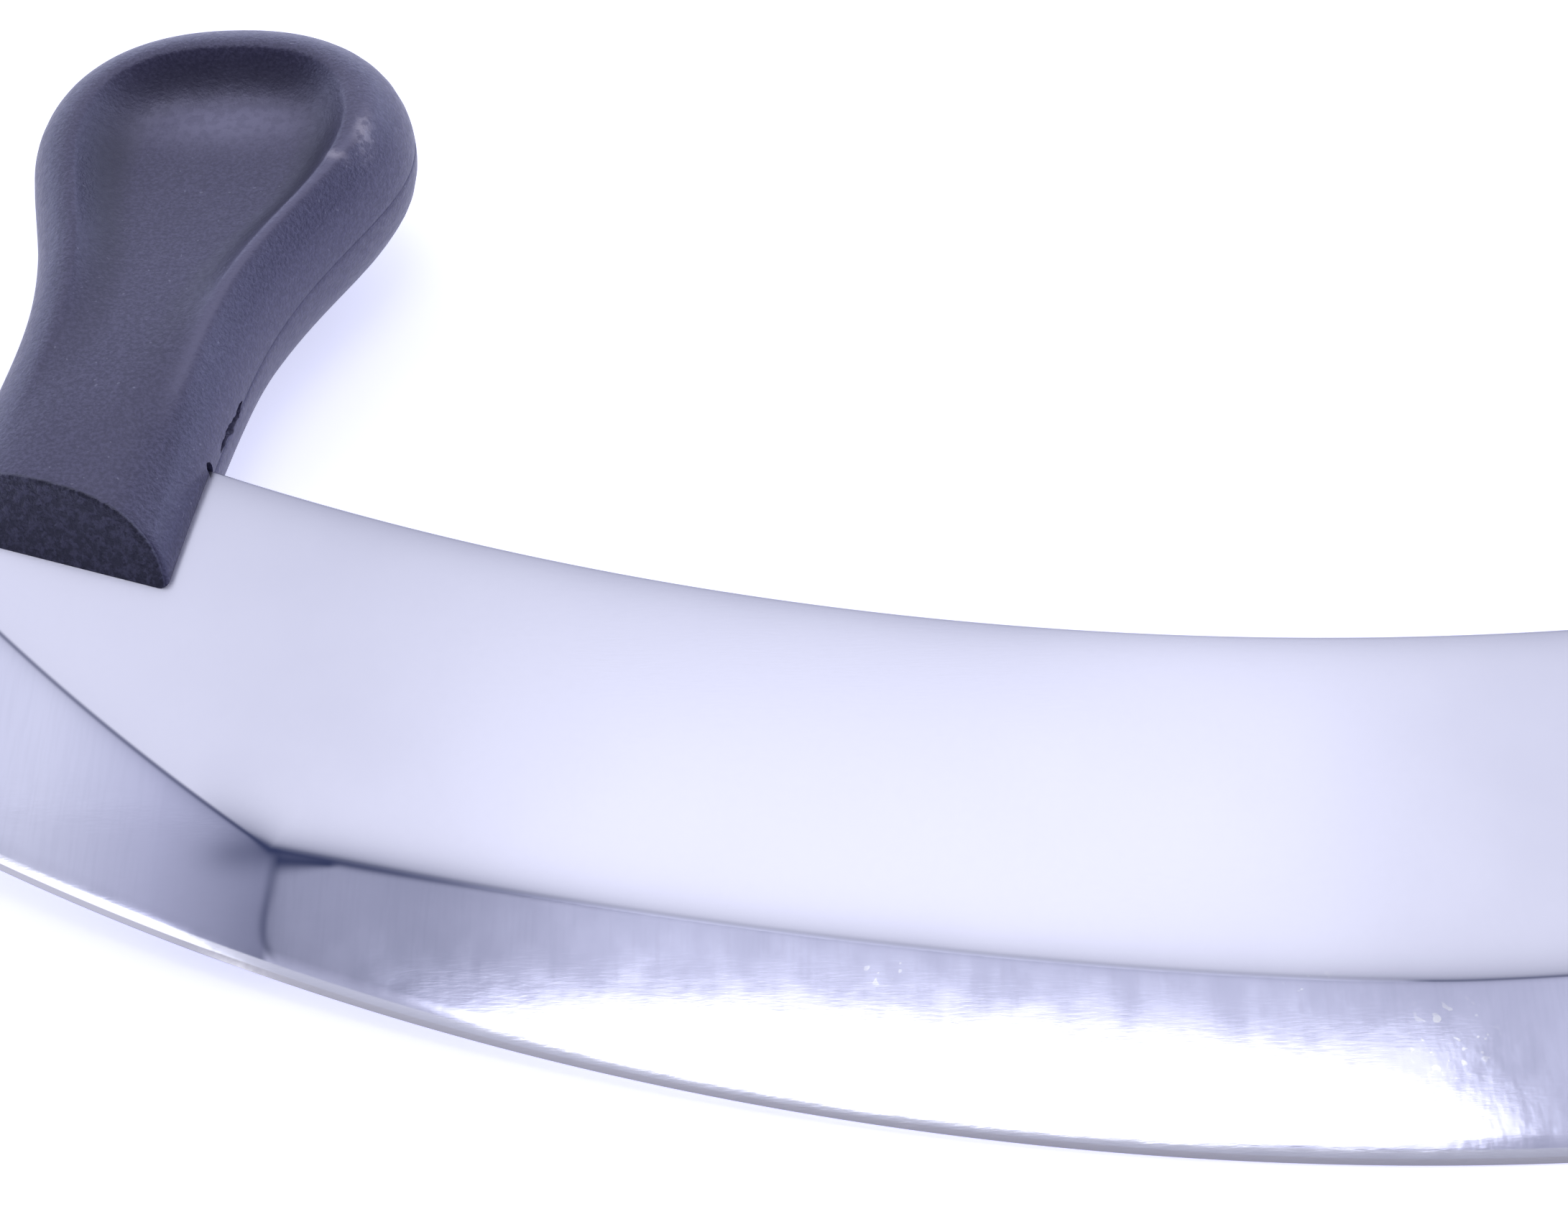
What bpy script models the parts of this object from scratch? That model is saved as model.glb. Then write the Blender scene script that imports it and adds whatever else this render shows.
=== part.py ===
"""Mezzaluna, a two-handled rocking knife, resting on a table on its cutting edge and its handles' feet.

Everything is drawn in the knife's own plane first: X runs along the chord of the cutting edge, Y from the
lowest point of the edge up to the handles, Z out of the blade's face, with the sheet's middle at zero.
An empty then lays the whole knife down, so that the edge and both feet touch the table together.
Lengths are in metres.
"""

import math

import bmesh
import bpy
from mathutils import Matrix, Vector

# Blade: one ground sheet of stainless steel with a tang at each end
BLADE_HEIGHT = 0.0453
BLADE_THICKNESS = 0.0020
EDGE_RADIUS = 0.2530
SPINE_RADIUS = 0.2653
TIP_RADIUS = 0.0070
TIP_CORNER = 0.0003
END_MARGIN = 0.0035
END_ANGLE = math.radians(61.0)

# Grinds: the long bevel, the grind that turns up towards each tip and the narrow cutting bevel
BEVEL_HEIGHT = 0.0142
BEVEL_RISE = 0.0131
BEVEL_RISE_POWER = 1.63
BEVEL_CORNER_X = 0.0908
BEVEL_CORNER_EDGE_X = 0.0900
TIP_GRIND_RADIUS = 0.2500
TIP_GRIND_ANGLE = math.radians(36.3)
TIP_GRIND_LENGTH = 0.0620
TIP_GRIND_EDGE_X = 0.1500
CUTTING_BEVEL_WIDTH = 0.0011
CUTTING_BEVEL_THICKNESS = 0.0005
EDGE_THICKNESS = 0.0001

# Tangs, hidden in the handles, with holes that the plastic flows through
TANG_WIDTH = 0.0100
TANG_TOP = 0.0450
TANG_HOLE_DIAMETER = 0.0050
TANG_HOLE_HEIGHTS = (0.0250, 0.0365)

# Handles: a neck that leans in over the blade and an upright bulb, moulded round the tangs
HANDLE_X = 0.1130
HANDLE_Y = 0.0550
HANDLE_LEAN = math.radians(12.4)
LEAN_FADE_START = 0.0380
LEAN_FADE_END = 0.0560
HANDLE_LENGTH = 0.0612
HANDLE_THICKNESS = 0.0156
FOOT_WIDTH = 0.0222
FOOT_THICKNESS = 0.0148
FOOT_SLOPE = math.radians(17.6)
FOOT_DRAFT = math.radians(29.5)
NECK_WIDTH = 0.0212
NECK_HEIGHT = 0.0165
BULB_WIDTH = 0.0354
BULB_HEIGHT = 0.0468
FLANK_SKEW = 1.5
CROWN_POWER = 2.14
NECK_DOME_POWER = 2.5
RIM_ROLL = 0.0055
RIM_ROLL_POWER = 2.2
DOME_END = 0.0300

# Thumb dish: a scoop on both faces, deepest under the top of the handle and running out above the foot
DISH_DEPTH = 0.0035
DISH_START = 0.0080
DISH_INNER_RIM_WIDTH = 0.0039
DISH_OUTER_RIM_WIDTH = 0.0050
DISH_TOP_RIM_WIDTH = 0.0056
DISH_RIM_RISE_START = 0.0360
DISH_RIM_RISE_END = 0.0510
DISH_WALL_WIDTH = 0.0046
DISH_TOP_WALL_WIDTH = 0.0058
DISH_WALL_POWER = 2.2
RIDGE_SOFTNESS = 0.0004

# Fits and cuts
FIT_GAP = 0.0003
CUT_OVERRUN = 0.0040
MERGE_DISTANCE = 0.00001

# Mesh fineness, in counts
EDGE_STEPS = 24
TIP_GRIND_STEPS = 12
TIP_ARC_STEPS = 8
SPINE_STEPS = 24
TANG_ARC_STEPS = 10
HOLE_STEPS = 20
SIDE_STEPS = 18
CROWN_STEPS = 10
ROLL_STEPS = 6
DISH_STEPS = 9
DISH_SPACING_POWER = 1.3

EDGE_CENTRE = Vector((0.0, EDGE_RADIUS))
SPINE_CENTRE = Vector((0.0, BLADE_HEIGHT + SPINE_RADIUS))
NECK_FOOT = Vector((HANDLE_X, HANDLE_Y))
NECK_AXIS = Vector((-math.sin(HANDLE_LEAN), math.cos(HANDLE_LEAN)))
NECK_ACROSS = Vector((math.cos(HANDLE_LEAN), math.sin(HANDLE_LEAN)))


def remove_everything():
    for old in list(bpy.data.objects):
        bpy.data.objects.remove(old, do_unlink=True)


def new_collection(name):
    made = bpy.data.collections.new(name)
    bpy.context.scene.collection.children.link(made)
    return made


def new_material(name, colour, roughness, metallic):
    material = bpy.data.materials.new(name)
    material.use_nodes = True
    shader = material.node_tree.nodes["Principled BSDF"]
    shader.inputs["Base Color"].default_value = (*colour, 1.0)
    shader.inputs["Roughness"].default_value = roughness
    shader.inputs["Metallic"].default_value = metallic
    return material


def new_object(name, mesh, collection, parent):
    made = bpy.data.objects.new(name, mesh)
    made.parent = parent
    collection.objects.link(made)
    return made


def as_cutter(made):
    made.hide_render = True
    made.display_type = "WIRE"
    return made


def combine(target, cutter, operation):
    modifier = target.modifiers.new(cutter.name, "BOOLEAN")
    modifier.operation = operation
    modifier.solver = "EXACT"
    modifier.object = cutter


def smooth_step(value):
    value = min(max(value, 0.0), 1.0)
    return value * value * (3.0 - 2.0 * value)


def blend(low, high, share):
    return low + (high - low) * share


def on_circle(centre, radius, angle):
    """A point on a circle, at an angle from its lowest point towards +X."""
    return centre + radius * Vector((math.sin(angle), -math.cos(angle)))


def angle_from(centre, point):
    return math.atan2(point.x - centre.x, centre.y - point.y)


def arc(centre, radius, start, end, steps):
    """Points along an arc, both ends included."""
    return [on_circle(centre, radius, blend(start, end, i / steps)) for i in range(steps + 1)]


def line_meets_circle(point, direction, centre, radius, first):
    """Where a line crosses a circle: its first crossing along the direction, or its last."""
    along = (point - centre).dot(direction)
    root = math.sqrt(along * along - (point - centre).length_squared + radius * radius)
    return point + direction * (-along - root if first else -along + root)


def along_neck(across, along):
    """A place measured across and along the right handle's neck, given in the knife's plane."""
    return NECK_FOOT + NECK_ACROSS * across + NECK_AXIS * along


def edge_angles():
    """Stations along the right half of the edge, as angles from its lowest point, on beyond the tip."""
    corner = math.asin(BEVEL_CORNER_EDGE_X / EDGE_RADIUS)
    end = math.asin(TIP_GRIND_EDGE_X / EDGE_RADIUS)
    angles = [blend(0.0, corner, step / EDGE_STEPS) for step in range(EDGE_STEPS)]
    angles += [blend(corner, end, step / TIP_GRIND_STEPS) for step in range(TIP_GRIND_STEPS + 1)]
    return angles


def half_outline(grow):
    """The sheet's right half from the middle of its spine round its tang and tip, then down past the edge."""
    spine_radius = SPINE_RADIUS - grow
    tang_half = TANG_WIDTH / 2 + grow
    inner_root = line_meets_circle(along_neck(-tang_half, 0.0), NECK_AXIS, SPINE_CENTRE, spine_radius, True)
    outer_root = line_meets_circle(along_neck(tang_half, 0.0), NECK_AXIS, SPINE_CENTRE, spine_radius, True)
    tang_centre = along_neck(0.0, TANG_TOP - TANG_WIDTH / 2)

    end_direction = Vector((math.cos(END_ANGLE), -math.sin(END_ANGLE)))
    end_normal = Vector((math.sin(END_ANGLE), math.cos(END_ANGLE)))
    end_point = along_neck(FOOT_WIDTH / 2 + END_MARGIN, 0.0)
    end_top = line_meets_circle(end_point + end_normal * grow, end_direction, SPINE_CENTRE, spine_radius, False)
    tip_centre = line_meets_circle(
        end_point - end_normal * TIP_RADIUS,
        end_direction,
        EDGE_CENTRE,
        EDGE_RADIUS - TIP_RADIUS + TIP_CORNER,
        False,
    )
    tip_start = angle_from(tip_centre, tip_centre + end_normal)
    tip_end = angle_from(EDGE_CENTRE, tip_centre)

    neck_turn = angle_from(Vector((0.0, 0.0)), NECK_ACROSS)
    points = arc(SPINE_CENTRE, spine_radius, 0.0, angle_from(SPINE_CENTRE, inner_root), SPINE_STEPS)
    points += arc(tang_centre, tang_half, neck_turn - math.pi, neck_turn - 2 * math.pi, TANG_ARC_STEPS)
    points += [outer_root, end_top]
    points += arc(tip_centre, TIP_RADIUS + grow, tip_start, tip_end, TIP_ARC_STEPS)
    points += arc(EDGE_CENTRE, EDGE_RADIUS + CUT_OVERRUN, tip_end, 0.0, SPINE_STEPS)
    return points


def mirrored(points):
    return [Vector((-point.x, point.y)) for point in points]


def add_spline(curve, points):
    spline = curve.splines.new("POLY")
    spline.points.add(len(points) - 1)
    for place, point in zip(spline.points, points):
        place.co = (point.x, point.y, 0.0, 1.0)
    spline.use_cyclic_u = True


def sheet_mesh(name, grow, thickness):
    """A flat sheet with tangs and their holes; grow widens it all round and narrows the holes."""
    right = half_outline(grow)
    curve = bpy.data.curves.new(name, "CURVE")
    curve.dimensions = "2D"
    curve.fill_mode = "BOTH"
    curve.extrude = thickness / 2
    add_spline(curve, right + mirrored(right[1:-1])[::-1])
    for height in TANG_HOLE_HEIGHTS:
        hole = arc(along_neck(0.0, height), TANG_HOLE_DIAMETER / 2 - grow, 0.0, 2 * math.pi, HOLE_STEPS)[:-1]
        add_spline(curve, hole)
        add_spline(curve, mirrored(hole))
    drawn = bpy.data.objects.new(name, curve)
    bpy.context.scene.collection.objects.link(drawn)
    bpy.context.view_layer.update()
    mesh = bpy.data.meshes.new_from_object(drawn.evaluated_get(bpy.context.evaluated_depsgraph_get()))
    mesh.name = name
    bpy.data.objects.remove(drawn)
    shape = bmesh.new()
    shape.from_mesh(mesh)
    bmesh.ops.remove_doubles(shape, verts=shape.verts, dist=MERGE_DISTANCE)
    bmesh.ops.recalc_face_normals(shape, faces=shape.faces)
    shape.to_mesh(mesh)
    shape.free()
    return mesh


def shoulder_point(x):
    return Vector((x, BEVEL_HEIGHT + BEVEL_RISE * (x / BEVEL_CORNER_X) ** BEVEL_RISE_POWER))


def tip_grind_point(length):
    """A point of the grind line that turns up from the bevel's corner towards the tip."""
    centre = on_circle(shoulder_point(BEVEL_CORNER_X), -TIP_GRIND_RADIUS, TIP_GRIND_ANGLE)
    return on_circle(centre, TIP_GRIND_RADIUS, TIP_GRIND_ANGLE + length / TIP_GRIND_RADIUS)


def half_stations():
    """Pairs of shoulder and edge points along the right half, from the middle to beyond the tip."""
    pairs = []
    for step, angle in enumerate(edge_angles()):
        edge = on_circle(EDGE_CENTRE, EDGE_RADIUS, angle)
        if step <= EDGE_STEPS:
            shoulder = shoulder_point(BEVEL_CORNER_X * step / EDGE_STEPS)
        else:
            shoulder = tip_grind_point(TIP_GRIND_LENGTH * (step - EDGE_STEPS) / TIP_GRIND_STEPS)
        pairs.append((shoulder, edge))
    return pairs


def ground_section(shoulder, edge):
    """The plate's section at a station: plain above the shoulder, then the bevel and the cutting bevel."""
    top = Vector((shoulder.x, HANDLE_Y + HANDLE_LENGTH))
    cutting = edge + (shoulder - edge).normalized() * CUTTING_BEVEL_WIDTH
    heights = (BLADE_THICKNESS / 2, BLADE_THICKNESS / 2, CUTTING_BEVEL_THICKNESS / 2, EDGE_THICKNESS / 2)
    front = [(place.x, place.y, height) for place, height in zip((top, shoulder, cutting, edge), heights)]
    back = [(x, y, -height) for x, y, height in front]
    return front + back[::-1]


def ground_plate_mesh(name):
    """A plate ground along its edge, still too tall and too long: a loft, since the bevel's width changes."""
    right = half_stations()
    left = [tuple(mirrored(pair)) for pair in right[1:]]
    shape = bmesh.new()
    rings = []
    for shoulder, edge in left[::-1] + right:
        rings.append([shape.verts.new(point) for point in ground_section(shoulder, edge)])
    for ring, following in zip(rings, rings[1:]):
        for i in range(len(ring)):
            j = (i + 1) % len(ring)
            shape.faces.new((ring[i], ring[j], following[j], following[i]))
    shape.faces.new(rings[0])
    shape.faces.new(rings[-1])
    bmesh.ops.recalc_face_normals(shape, faces=shape.faces)
    mesh = bpy.data.meshes.new(name)
    shape.to_mesh(mesh)
    shape.free()
    return mesh


def lean_at(height):
    """How far the handle's middle line has moved inwards at a height: it leans at the foot and ends upright."""
    fade = min(max(height - LEAN_FADE_START, 0.0), LEAN_FADE_END - LEAN_FADE_START)
    upright = max(height - LEAN_FADE_END, 0.0)
    risen = height - upright - fade * fade / (LEAN_FADE_END - LEAN_FADE_START) / 2
    return risen * math.tan(HANDLE_LEAN)


def half_width(height):
    """The handle's half width from its foot up to the widest part of the bulb."""
    flare = max(1.0 - height / NECK_HEIGHT, 0.0)
    swell = max((height - NECK_HEIGHT) / (BULB_HEIGHT - NECK_HEIGHT), 0.0)
    neck = blend(NECK_WIDTH, FOOT_WIDTH, flare * flare) / 2
    return blend(neck, BULB_WIDTH / 2, smooth_step(swell**FLANK_SKEW))


def quarter_outline():
    """Places on the parting line, each with the place on the middle line that its section runs to."""
    pairs = []
    for step in range(SIDE_STEPS + 1):
        height = blend(-CUT_OVERRUN, BULB_HEIGHT, step / SIDE_STEPS)
        pairs.append((Vector((half_width(height), height)), Vector((0.0, height))))
    crown = HANDLE_LENGTH - BULB_HEIGHT
    for step in range(1, CROWN_STEPS + 1):
        turn = math.pi / 2 * step / CROWN_STEPS
        across = BULB_WIDTH / 2 * max(math.cos(turn), 0.0) ** (2 / CROWN_POWER)
        above = crown * math.sin(turn) ** (2 / CROWN_POWER)
        pairs.append((Vector((across, BULB_HEIGHT + above)), Vector((0.0, BULB_HEIGHT))))
    return pairs


def rolled(height, inset):
    """The plain body's face over the middle plane, without the dish."""
    bulb_share = smooth_step((height - DISH_START) / (DOME_END - DISH_START))
    roll = blend(half_width(height), RIM_ROLL, bulb_share)
    power = blend(NECK_DOME_POWER, RIM_ROLL_POWER, bulb_share)
    thickness = blend(FOOT_THICKNESS, HANDLE_THICKNESS, smooth_step(height / BULB_HEIGHT))
    remaining = max(1.0 - inset / roll, 0.0)
    return thickness / 2 * (1.0 - remaining**power) ** (1 / power)


def dish_border(half, height):
    """How wide the rim outside the dish and the dish's wall are; half is 1 for the handle's outer half."""
    flank = DISH_OUTER_RIM_WIDTH if half > 0.0 else DISH_INNER_RIM_WIDTH
    risen = smooth_step((height - DISH_RIM_RISE_START) / (DISH_RIM_RISE_END - DISH_RIM_RISE_START))
    return blend(flank, DISH_TOP_RIM_WIDTH, risen), blend(DISH_WALL_WIDTH, DISH_TOP_WALL_WIDTH, risen)


def face_height(height, reach, border, inset):
    """How high the dished face stands, at a distance in from the parting line along one section."""
    body = rolled(height, inset)
    fade = smooth_step((height - DISH_START) / (BULB_HEIGHT - DISH_START))
    floor = rolled(height, reach) - DISH_DEPTH * fade
    rim, wall = border
    climb = min(max(1.0 - (inset - rim) / min(wall, reach - rim), 0.0), 2.0)
    dish = blend(floor, rolled(height, rim), climb**DISH_WALL_POWER)
    gap = body - dish
    softness = RIDGE_SOFTNESS * fade
    return (body + dish - math.sqrt(gap * gap + softness * softness)) / 2


def section(half, outer, centre):
    """The face's points from the parting line in to the middle line."""
    reach = (outer - centre).length
    inward = (centre - outer) / reach
    border = dish_border(half, outer.y)
    rim = border[0]
    insets = [rim * (1.0 - math.cos(math.pi / 2 * i / ROLL_STEPS)) for i in range(ROLL_STEPS)]
    insets += [blend(rim, reach, (i / DISH_STEPS) ** DISH_SPACING_POWER) for i in range(DISH_STEPS + 1)]
    points = [Vector((outer.x, outer.y, 0.0))]
    for inset in insets[1:]:
        flat = outer + inward * inset
        points.append(Vector((flat.x, flat.y, face_height(centre.y, reach, border, inset))))
    return points


def handle_mesh(name, side):
    """The front half of a handle's skin, open at the middle plane; side is 1 for the right handle."""
    shape = bmesh.new()
    for half in (1.0, -1.0):
        rows = []
        for outer, centre in quarter_outline():
            row = []
            for point in section(half, outer, centre):
                across = half * point.x - lean_at(point.y)
                row.append(shape.verts.new((side * across, point.y, point.z)))
            rows.append(row)
        for row, following in zip(rows, rows[1:]):
            for i in range(len(row) - 1):
                shape.faces.new((row[i], row[i + 1], following[i + 1], following[i]))
        foot = shape.verts.new((side * -lean_at(-CUT_OVERRUN), -CUT_OVERRUN, 0.0))
        shape.faces.new([foot] + rows[0][::-1])
    bmesh.ops.remove_doubles(shape, verts=shape.verts, dist=MERGE_DISTANCE)
    bmesh.ops.recalc_face_normals(shape, faces=shape.faces)
    mesh = bpy.data.meshes.new(name)
    shape.to_mesh(mesh)
    shape.free()
    return mesh


def foot_cutter_mesh(name):
    """What lies below the foot: a block with a notch, so that each cheek's end slopes back from the blade."""
    reach = HANDLE_THICKNESS
    back = reach * math.tan(FOOT_DRAFT)
    profile = [(0.0, 0.0), (back, reach), (-reach, reach), (-reach, -reach), (back, -reach)]
    shape = bmesh.new()
    ends = []
    for across in (-BULB_WIDTH, BULB_WIDTH):
        ends.append([shape.verts.new((across, along, height)) for along, height in profile])
    for i in range(len(profile)):
        j = (i + 1) % len(profile)
        shape.faces.new((ends[0][i], ends[0][j], ends[1][j], ends[1][i]))
    shape.faces.new(ends[0])
    shape.faces.new(ends[1])
    bmesh.ops.recalc_face_normals(shape, faces=shape.faces)
    mesh = bpy.data.meshes.new(name)
    shape.to_mesh(mesh)
    shape.free()
    return mesh


def make_blade(parts, cutters, resting):
    """The ground plate, trimmed to the outline of the spine, tangs and tips and pierced for the plastic."""
    blade = new_object("blade", ground_plate_mesh("blade"), parts, resting)
    blade.data.materials.append(new_material("satin_steel", (0.70, 0.71, 0.86), 0.22, 1.0))
    outline_mesh = sheet_mesh("blade_outline", 0.0, BLADE_THICKNESS + CUT_OVERRUN)
    outline = as_cutter(new_object("blade_outline", outline_mesh, cutters, resting))
    combine(blade, outline, "INTERSECT")
    return blade


def make_handle(name, side, plastic, tang_cutter, parts, cutters, resting):
    """One handle; side is 1 for the right one and -1 for the left one."""
    handle = new_object(name, handle_mesh(name, side), parts, resting)
    handle.data.materials.append(plastic)
    handle.location = (side * HANDLE_X, HANDLE_Y, 0.0)
    mirror = handle.modifiers.new("two faces", "MIRROR")
    mirror.use_axis = (False, False, True)
    mirror.merge_threshold = MERGE_DISTANCE
    foot = as_cutter(new_object(name + "_foot_cutter", foot_cutter_mesh(name + "_foot_cutter"), cutters, resting))
    foot.location = handle.location
    foot.rotation_euler.z = side * FOOT_SLOPE
    combine(handle, foot, "DIFFERENCE")
    combine(handle, tang_cutter, "DIFFERENCE")
    return handle


def evaluated_points(made):
    bpy.context.view_layer.update()
    shown = made.evaluated_get(bpy.context.evaluated_depsgraph_get())
    mesh = shown.to_mesh()
    points = [shown.matrix_world @ vertex.co for vertex in mesh.vertices]
    shown.to_mesh_clear()
    return points


def lowest(points, tilt):
    return min(point.y * math.sin(tilt) + point.z * math.cos(tilt) for point in points)


def lay_down(resting, blade, handles):
    """Tilt the knife until its edge and its handles touch the table together, with the origin under its middle."""
    blade_points = evaluated_points(blade)
    handle_points = [point for handle in handles for point in evaluated_points(handle)]
    flat, steep = 0.0, math.pi / 4
    for _ in range(50):
        tilt = (flat + steep) / 2
        if lowest(handle_points, tilt) < lowest(blade_points, tilt):
            flat = tilt
        else:
            steep = tilt
    turned = Matrix.Rotation(tilt, 3, "X")
    laid = [turned @ point for point in blade_points + handle_points]
    ahead = min(point.y for point in laid)
    behind = max(point.y for point in laid)
    resting.rotation_euler.x = tilt
    resting.location = (0.0, -(ahead + behind) / 2, -min(point.z for point in laid))


def main():
    remove_everything()
    parts = new_collection("mezzaluna")
    cutters = new_collection("cutters")
    resting = bpy.data.objects.new("resting_place", None)
    parts.objects.link(resting)

    blade = make_blade(parts, cutters, resting)
    tang_mesh = sheet_mesh("tang_cutter", FIT_GAP, BLADE_THICKNESS + 2 * FIT_GAP)
    tang_cutter = as_cutter(new_object("tang_cutter", tang_mesh, cutters, resting))
    plastic = new_material("charcoal_plastic", (0.045, 0.042, 0.072), 0.50, 0.0)
    handles = []
    for name, side in (("left_handle", -1.0), ("right_handle", 1.0)):
        handles.append(make_handle(name, side, plastic, tang_cutter, parts, cutters, resting))
    for made in [blade] + handles:
        made.data.shade_smooth()
        made.data.set_sharp_from_angle(angle=math.radians(30.0))
    lay_down(resting, blade, handles)


main()
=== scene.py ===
import math

import bmesh
import bpy
from mathutils import Matrix, Vector


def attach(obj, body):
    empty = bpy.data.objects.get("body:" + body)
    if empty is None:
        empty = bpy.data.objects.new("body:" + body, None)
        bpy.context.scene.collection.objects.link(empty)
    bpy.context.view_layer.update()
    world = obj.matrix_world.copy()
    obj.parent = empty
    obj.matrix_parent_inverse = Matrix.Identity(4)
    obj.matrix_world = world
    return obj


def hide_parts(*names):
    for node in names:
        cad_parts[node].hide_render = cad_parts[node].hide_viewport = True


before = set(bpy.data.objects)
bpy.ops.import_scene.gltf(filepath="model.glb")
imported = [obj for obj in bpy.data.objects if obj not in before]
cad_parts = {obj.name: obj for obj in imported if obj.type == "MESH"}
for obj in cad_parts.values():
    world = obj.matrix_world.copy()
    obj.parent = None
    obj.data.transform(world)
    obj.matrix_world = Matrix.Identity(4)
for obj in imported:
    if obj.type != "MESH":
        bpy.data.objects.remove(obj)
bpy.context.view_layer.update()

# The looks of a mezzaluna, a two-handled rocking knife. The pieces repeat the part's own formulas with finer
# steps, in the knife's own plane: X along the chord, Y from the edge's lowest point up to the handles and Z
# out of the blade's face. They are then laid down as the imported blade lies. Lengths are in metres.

# Blade
BLADE_HEIGHT = 0.0453
BLADE_THICKNESS = 0.0020
EDGE_RADIUS = 0.2530
SPINE_RADIUS = 0.2653
TIP_RADIUS = 0.0070
TIP_CORNER = 0.0003
END_MARGIN = 0.0035
END_ANGLE = math.radians(61.0)
BEVEL_HEIGHT = 0.0142
BEVEL_RISE = 0.0131
BEVEL_RISE_POWER = 1.63
BEVEL_CORNER_X = 0.0908
BEVEL_CORNER_EDGE_X = 0.0900
TIP_GRIND_RADIUS = 0.2500
TIP_GRIND_ANGLE = math.radians(36.3)
TIP_GRIND_LENGTH = 0.0620
TIP_GRIND_EDGE_X = 0.1500
CUTTING_BEVEL_WIDTH = 0.0011
CUTTING_BEVEL_THICKNESS = 0.0005
EDGE_THICKNESS = 0.0001
TANG_WIDTH = 0.0100
TANG_TOP = 0.0450
TANG_HOLE_DIAMETER = 0.0050
TANG_HOLE_HEIGHTS = (0.0250, 0.0365)

# Handles
HANDLE_X = 0.1130
HANDLE_Y = 0.0550
HANDLE_LEAN = math.radians(12.4)
LEAN_FADE_START = 0.0380
LEAN_FADE_END = 0.0560
HANDLE_LENGTH = 0.0612
HANDLE_THICKNESS = 0.0156
FOOT_WIDTH = 0.0222
FOOT_THICKNESS = 0.0148
FOOT_SLOPE = math.radians(17.6)
FOOT_DRAFT = math.radians(29.5)
NECK_WIDTH = 0.0212
NECK_HEIGHT = 0.0165
BULB_WIDTH = 0.0354
BULB_HEIGHT = 0.0468
FLANK_SKEW = 1.5
CROWN_POWER = 2.14
NECK_DOME_POWER = 2.5
RIM_ROLL = 0.0055
RIM_ROLL_POWER = 2.2
DOME_END = 0.0300
DISH_DEPTH = 0.0035
DISH_START = 0.0080
DISH_INNER_RIM_WIDTH = 0.0039
DISH_OUTER_RIM_WIDTH = 0.0050
DISH_TOP_RIM_WIDTH = 0.0056
DISH_RIM_RISE_START = 0.0360
DISH_RIM_RISE_END = 0.0510
DISH_WALL_WIDTH = 0.0046
DISH_TOP_WALL_WIDTH = 0.0058
DISH_WALL_POWER = 2.2
RIDGE_SOFTNESS = 0.0004
CUT_OVERRUN = 0.0040
MERGE_DISTANCE = 0.00001

# Fine detail that only the looks have
CONTACT_GAP = 0.00002
OUTLINE_TRIM = 0.00003
SPINE_CHAMFER = 0.00014
CHAMFER_REACH = 0.0005
SHOULDER_ROWS = (0.0120, 0.0050, 0.0020, 0.0008, 0.00025)
BEVEL_ROWS = (0.00025, 0.0009)
BEVEL_STEPS = 9
BEVEL_CROWN = 0.00007
CREASE_HALF = 0.0003
SEAM_LEVELS = (0.0, 0.00010, 0.00020, 0.00036, 0.0006, 0.0010, 0.0016, 0.0024)
SEAM_INSETS = (0.0, 0.00007, 0.00004, 0.00001, 0.0, 0.0, 0.0, 0.0)
FOOT_EDGE_RADIUS = 0.0004
FOOT_CORNER_RADIUS = 0.0011
FOOT_CORNER_REACH = 0.0030
FOOT_TARGET_SHARE = 0.88

RIDGE_BEAD = 0.0005
RIDGE_BEAD_INSET = 0.0027
RIDGE_BEAD_WIDTH = 0.00085
RIDGE_CREST_INSET = 0.0033
RIDGE_CREST_WIDTH = 0.0009
RIDGE_BEAD_START = (0.0080, 0.0200)
RIDGE_BEAD_END = (0.0430, 0.0530)
# Where and how far the crown's rim gets painted light
CROWN_LIGHT = 0.62
CROWN_LIGHT_START = 0.0490
CROWN_LIGHT_REACH = 0.0025
RATIO_FLOOR = 0.0001
SKIN_TRIM_ALONG = 0.9996
SKIN_TRIM_OUT = 0.9960
TEAR_SPAN = (0.0122, 0.0180)
TEAR_HALF_WIDTH = 0.00055
TEAR_LEVEL = 0.00045
TEAR_DEPTH = 0.0016
TEAR_STEPS = 22
TEAR_END_SHARE = 0.05
TEAR_END_POWER = 0.6
TEAR_SPREAD = 1.5
NOTCH_HEIGHT = 0.0099
NOTCH_LEVEL = 0.0012
NOTCH_RADII = (0.0013, 0.00045, 0.0008)
NOTCH_WOBBLE = 0.15
NOTCH_WOBBLE_SPEEDS = (5.0, 3.0)

# The tear's sines: size, speed and start, for how ragged it is and for how it wanders off its line
TEAR_RAGGED = ((0.20, 17.0, 0.0), (0.15, 41.0, 1.0))
TEAR_WANDER = ((0.35, 7.0, 0.0), (0.12, 23.0, 0.0))

# Mesh fineness, in counts
EDGE_STEPS = 90
TIP_GRIND_STEPS = 40
TIP_ARC_STEPS = 24
SPINE_STEPS = 110
TANG_ARC_STEPS = 24
HOLE_STEPS = 40
SIDE_STEPS = 74
CROWN_STEPS = 44
ROLL_STEPS = 12
DISH_STEPS = 26
DISH_SPACING_POWER = 1.3
FILLET_STEPS = 5
FOOT_STEPS = 6
SOLVE_STEPS = 40
COLUMNS = len(SEAM_LEVELS) + ROLL_STEPS + DISH_STEPS

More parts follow.
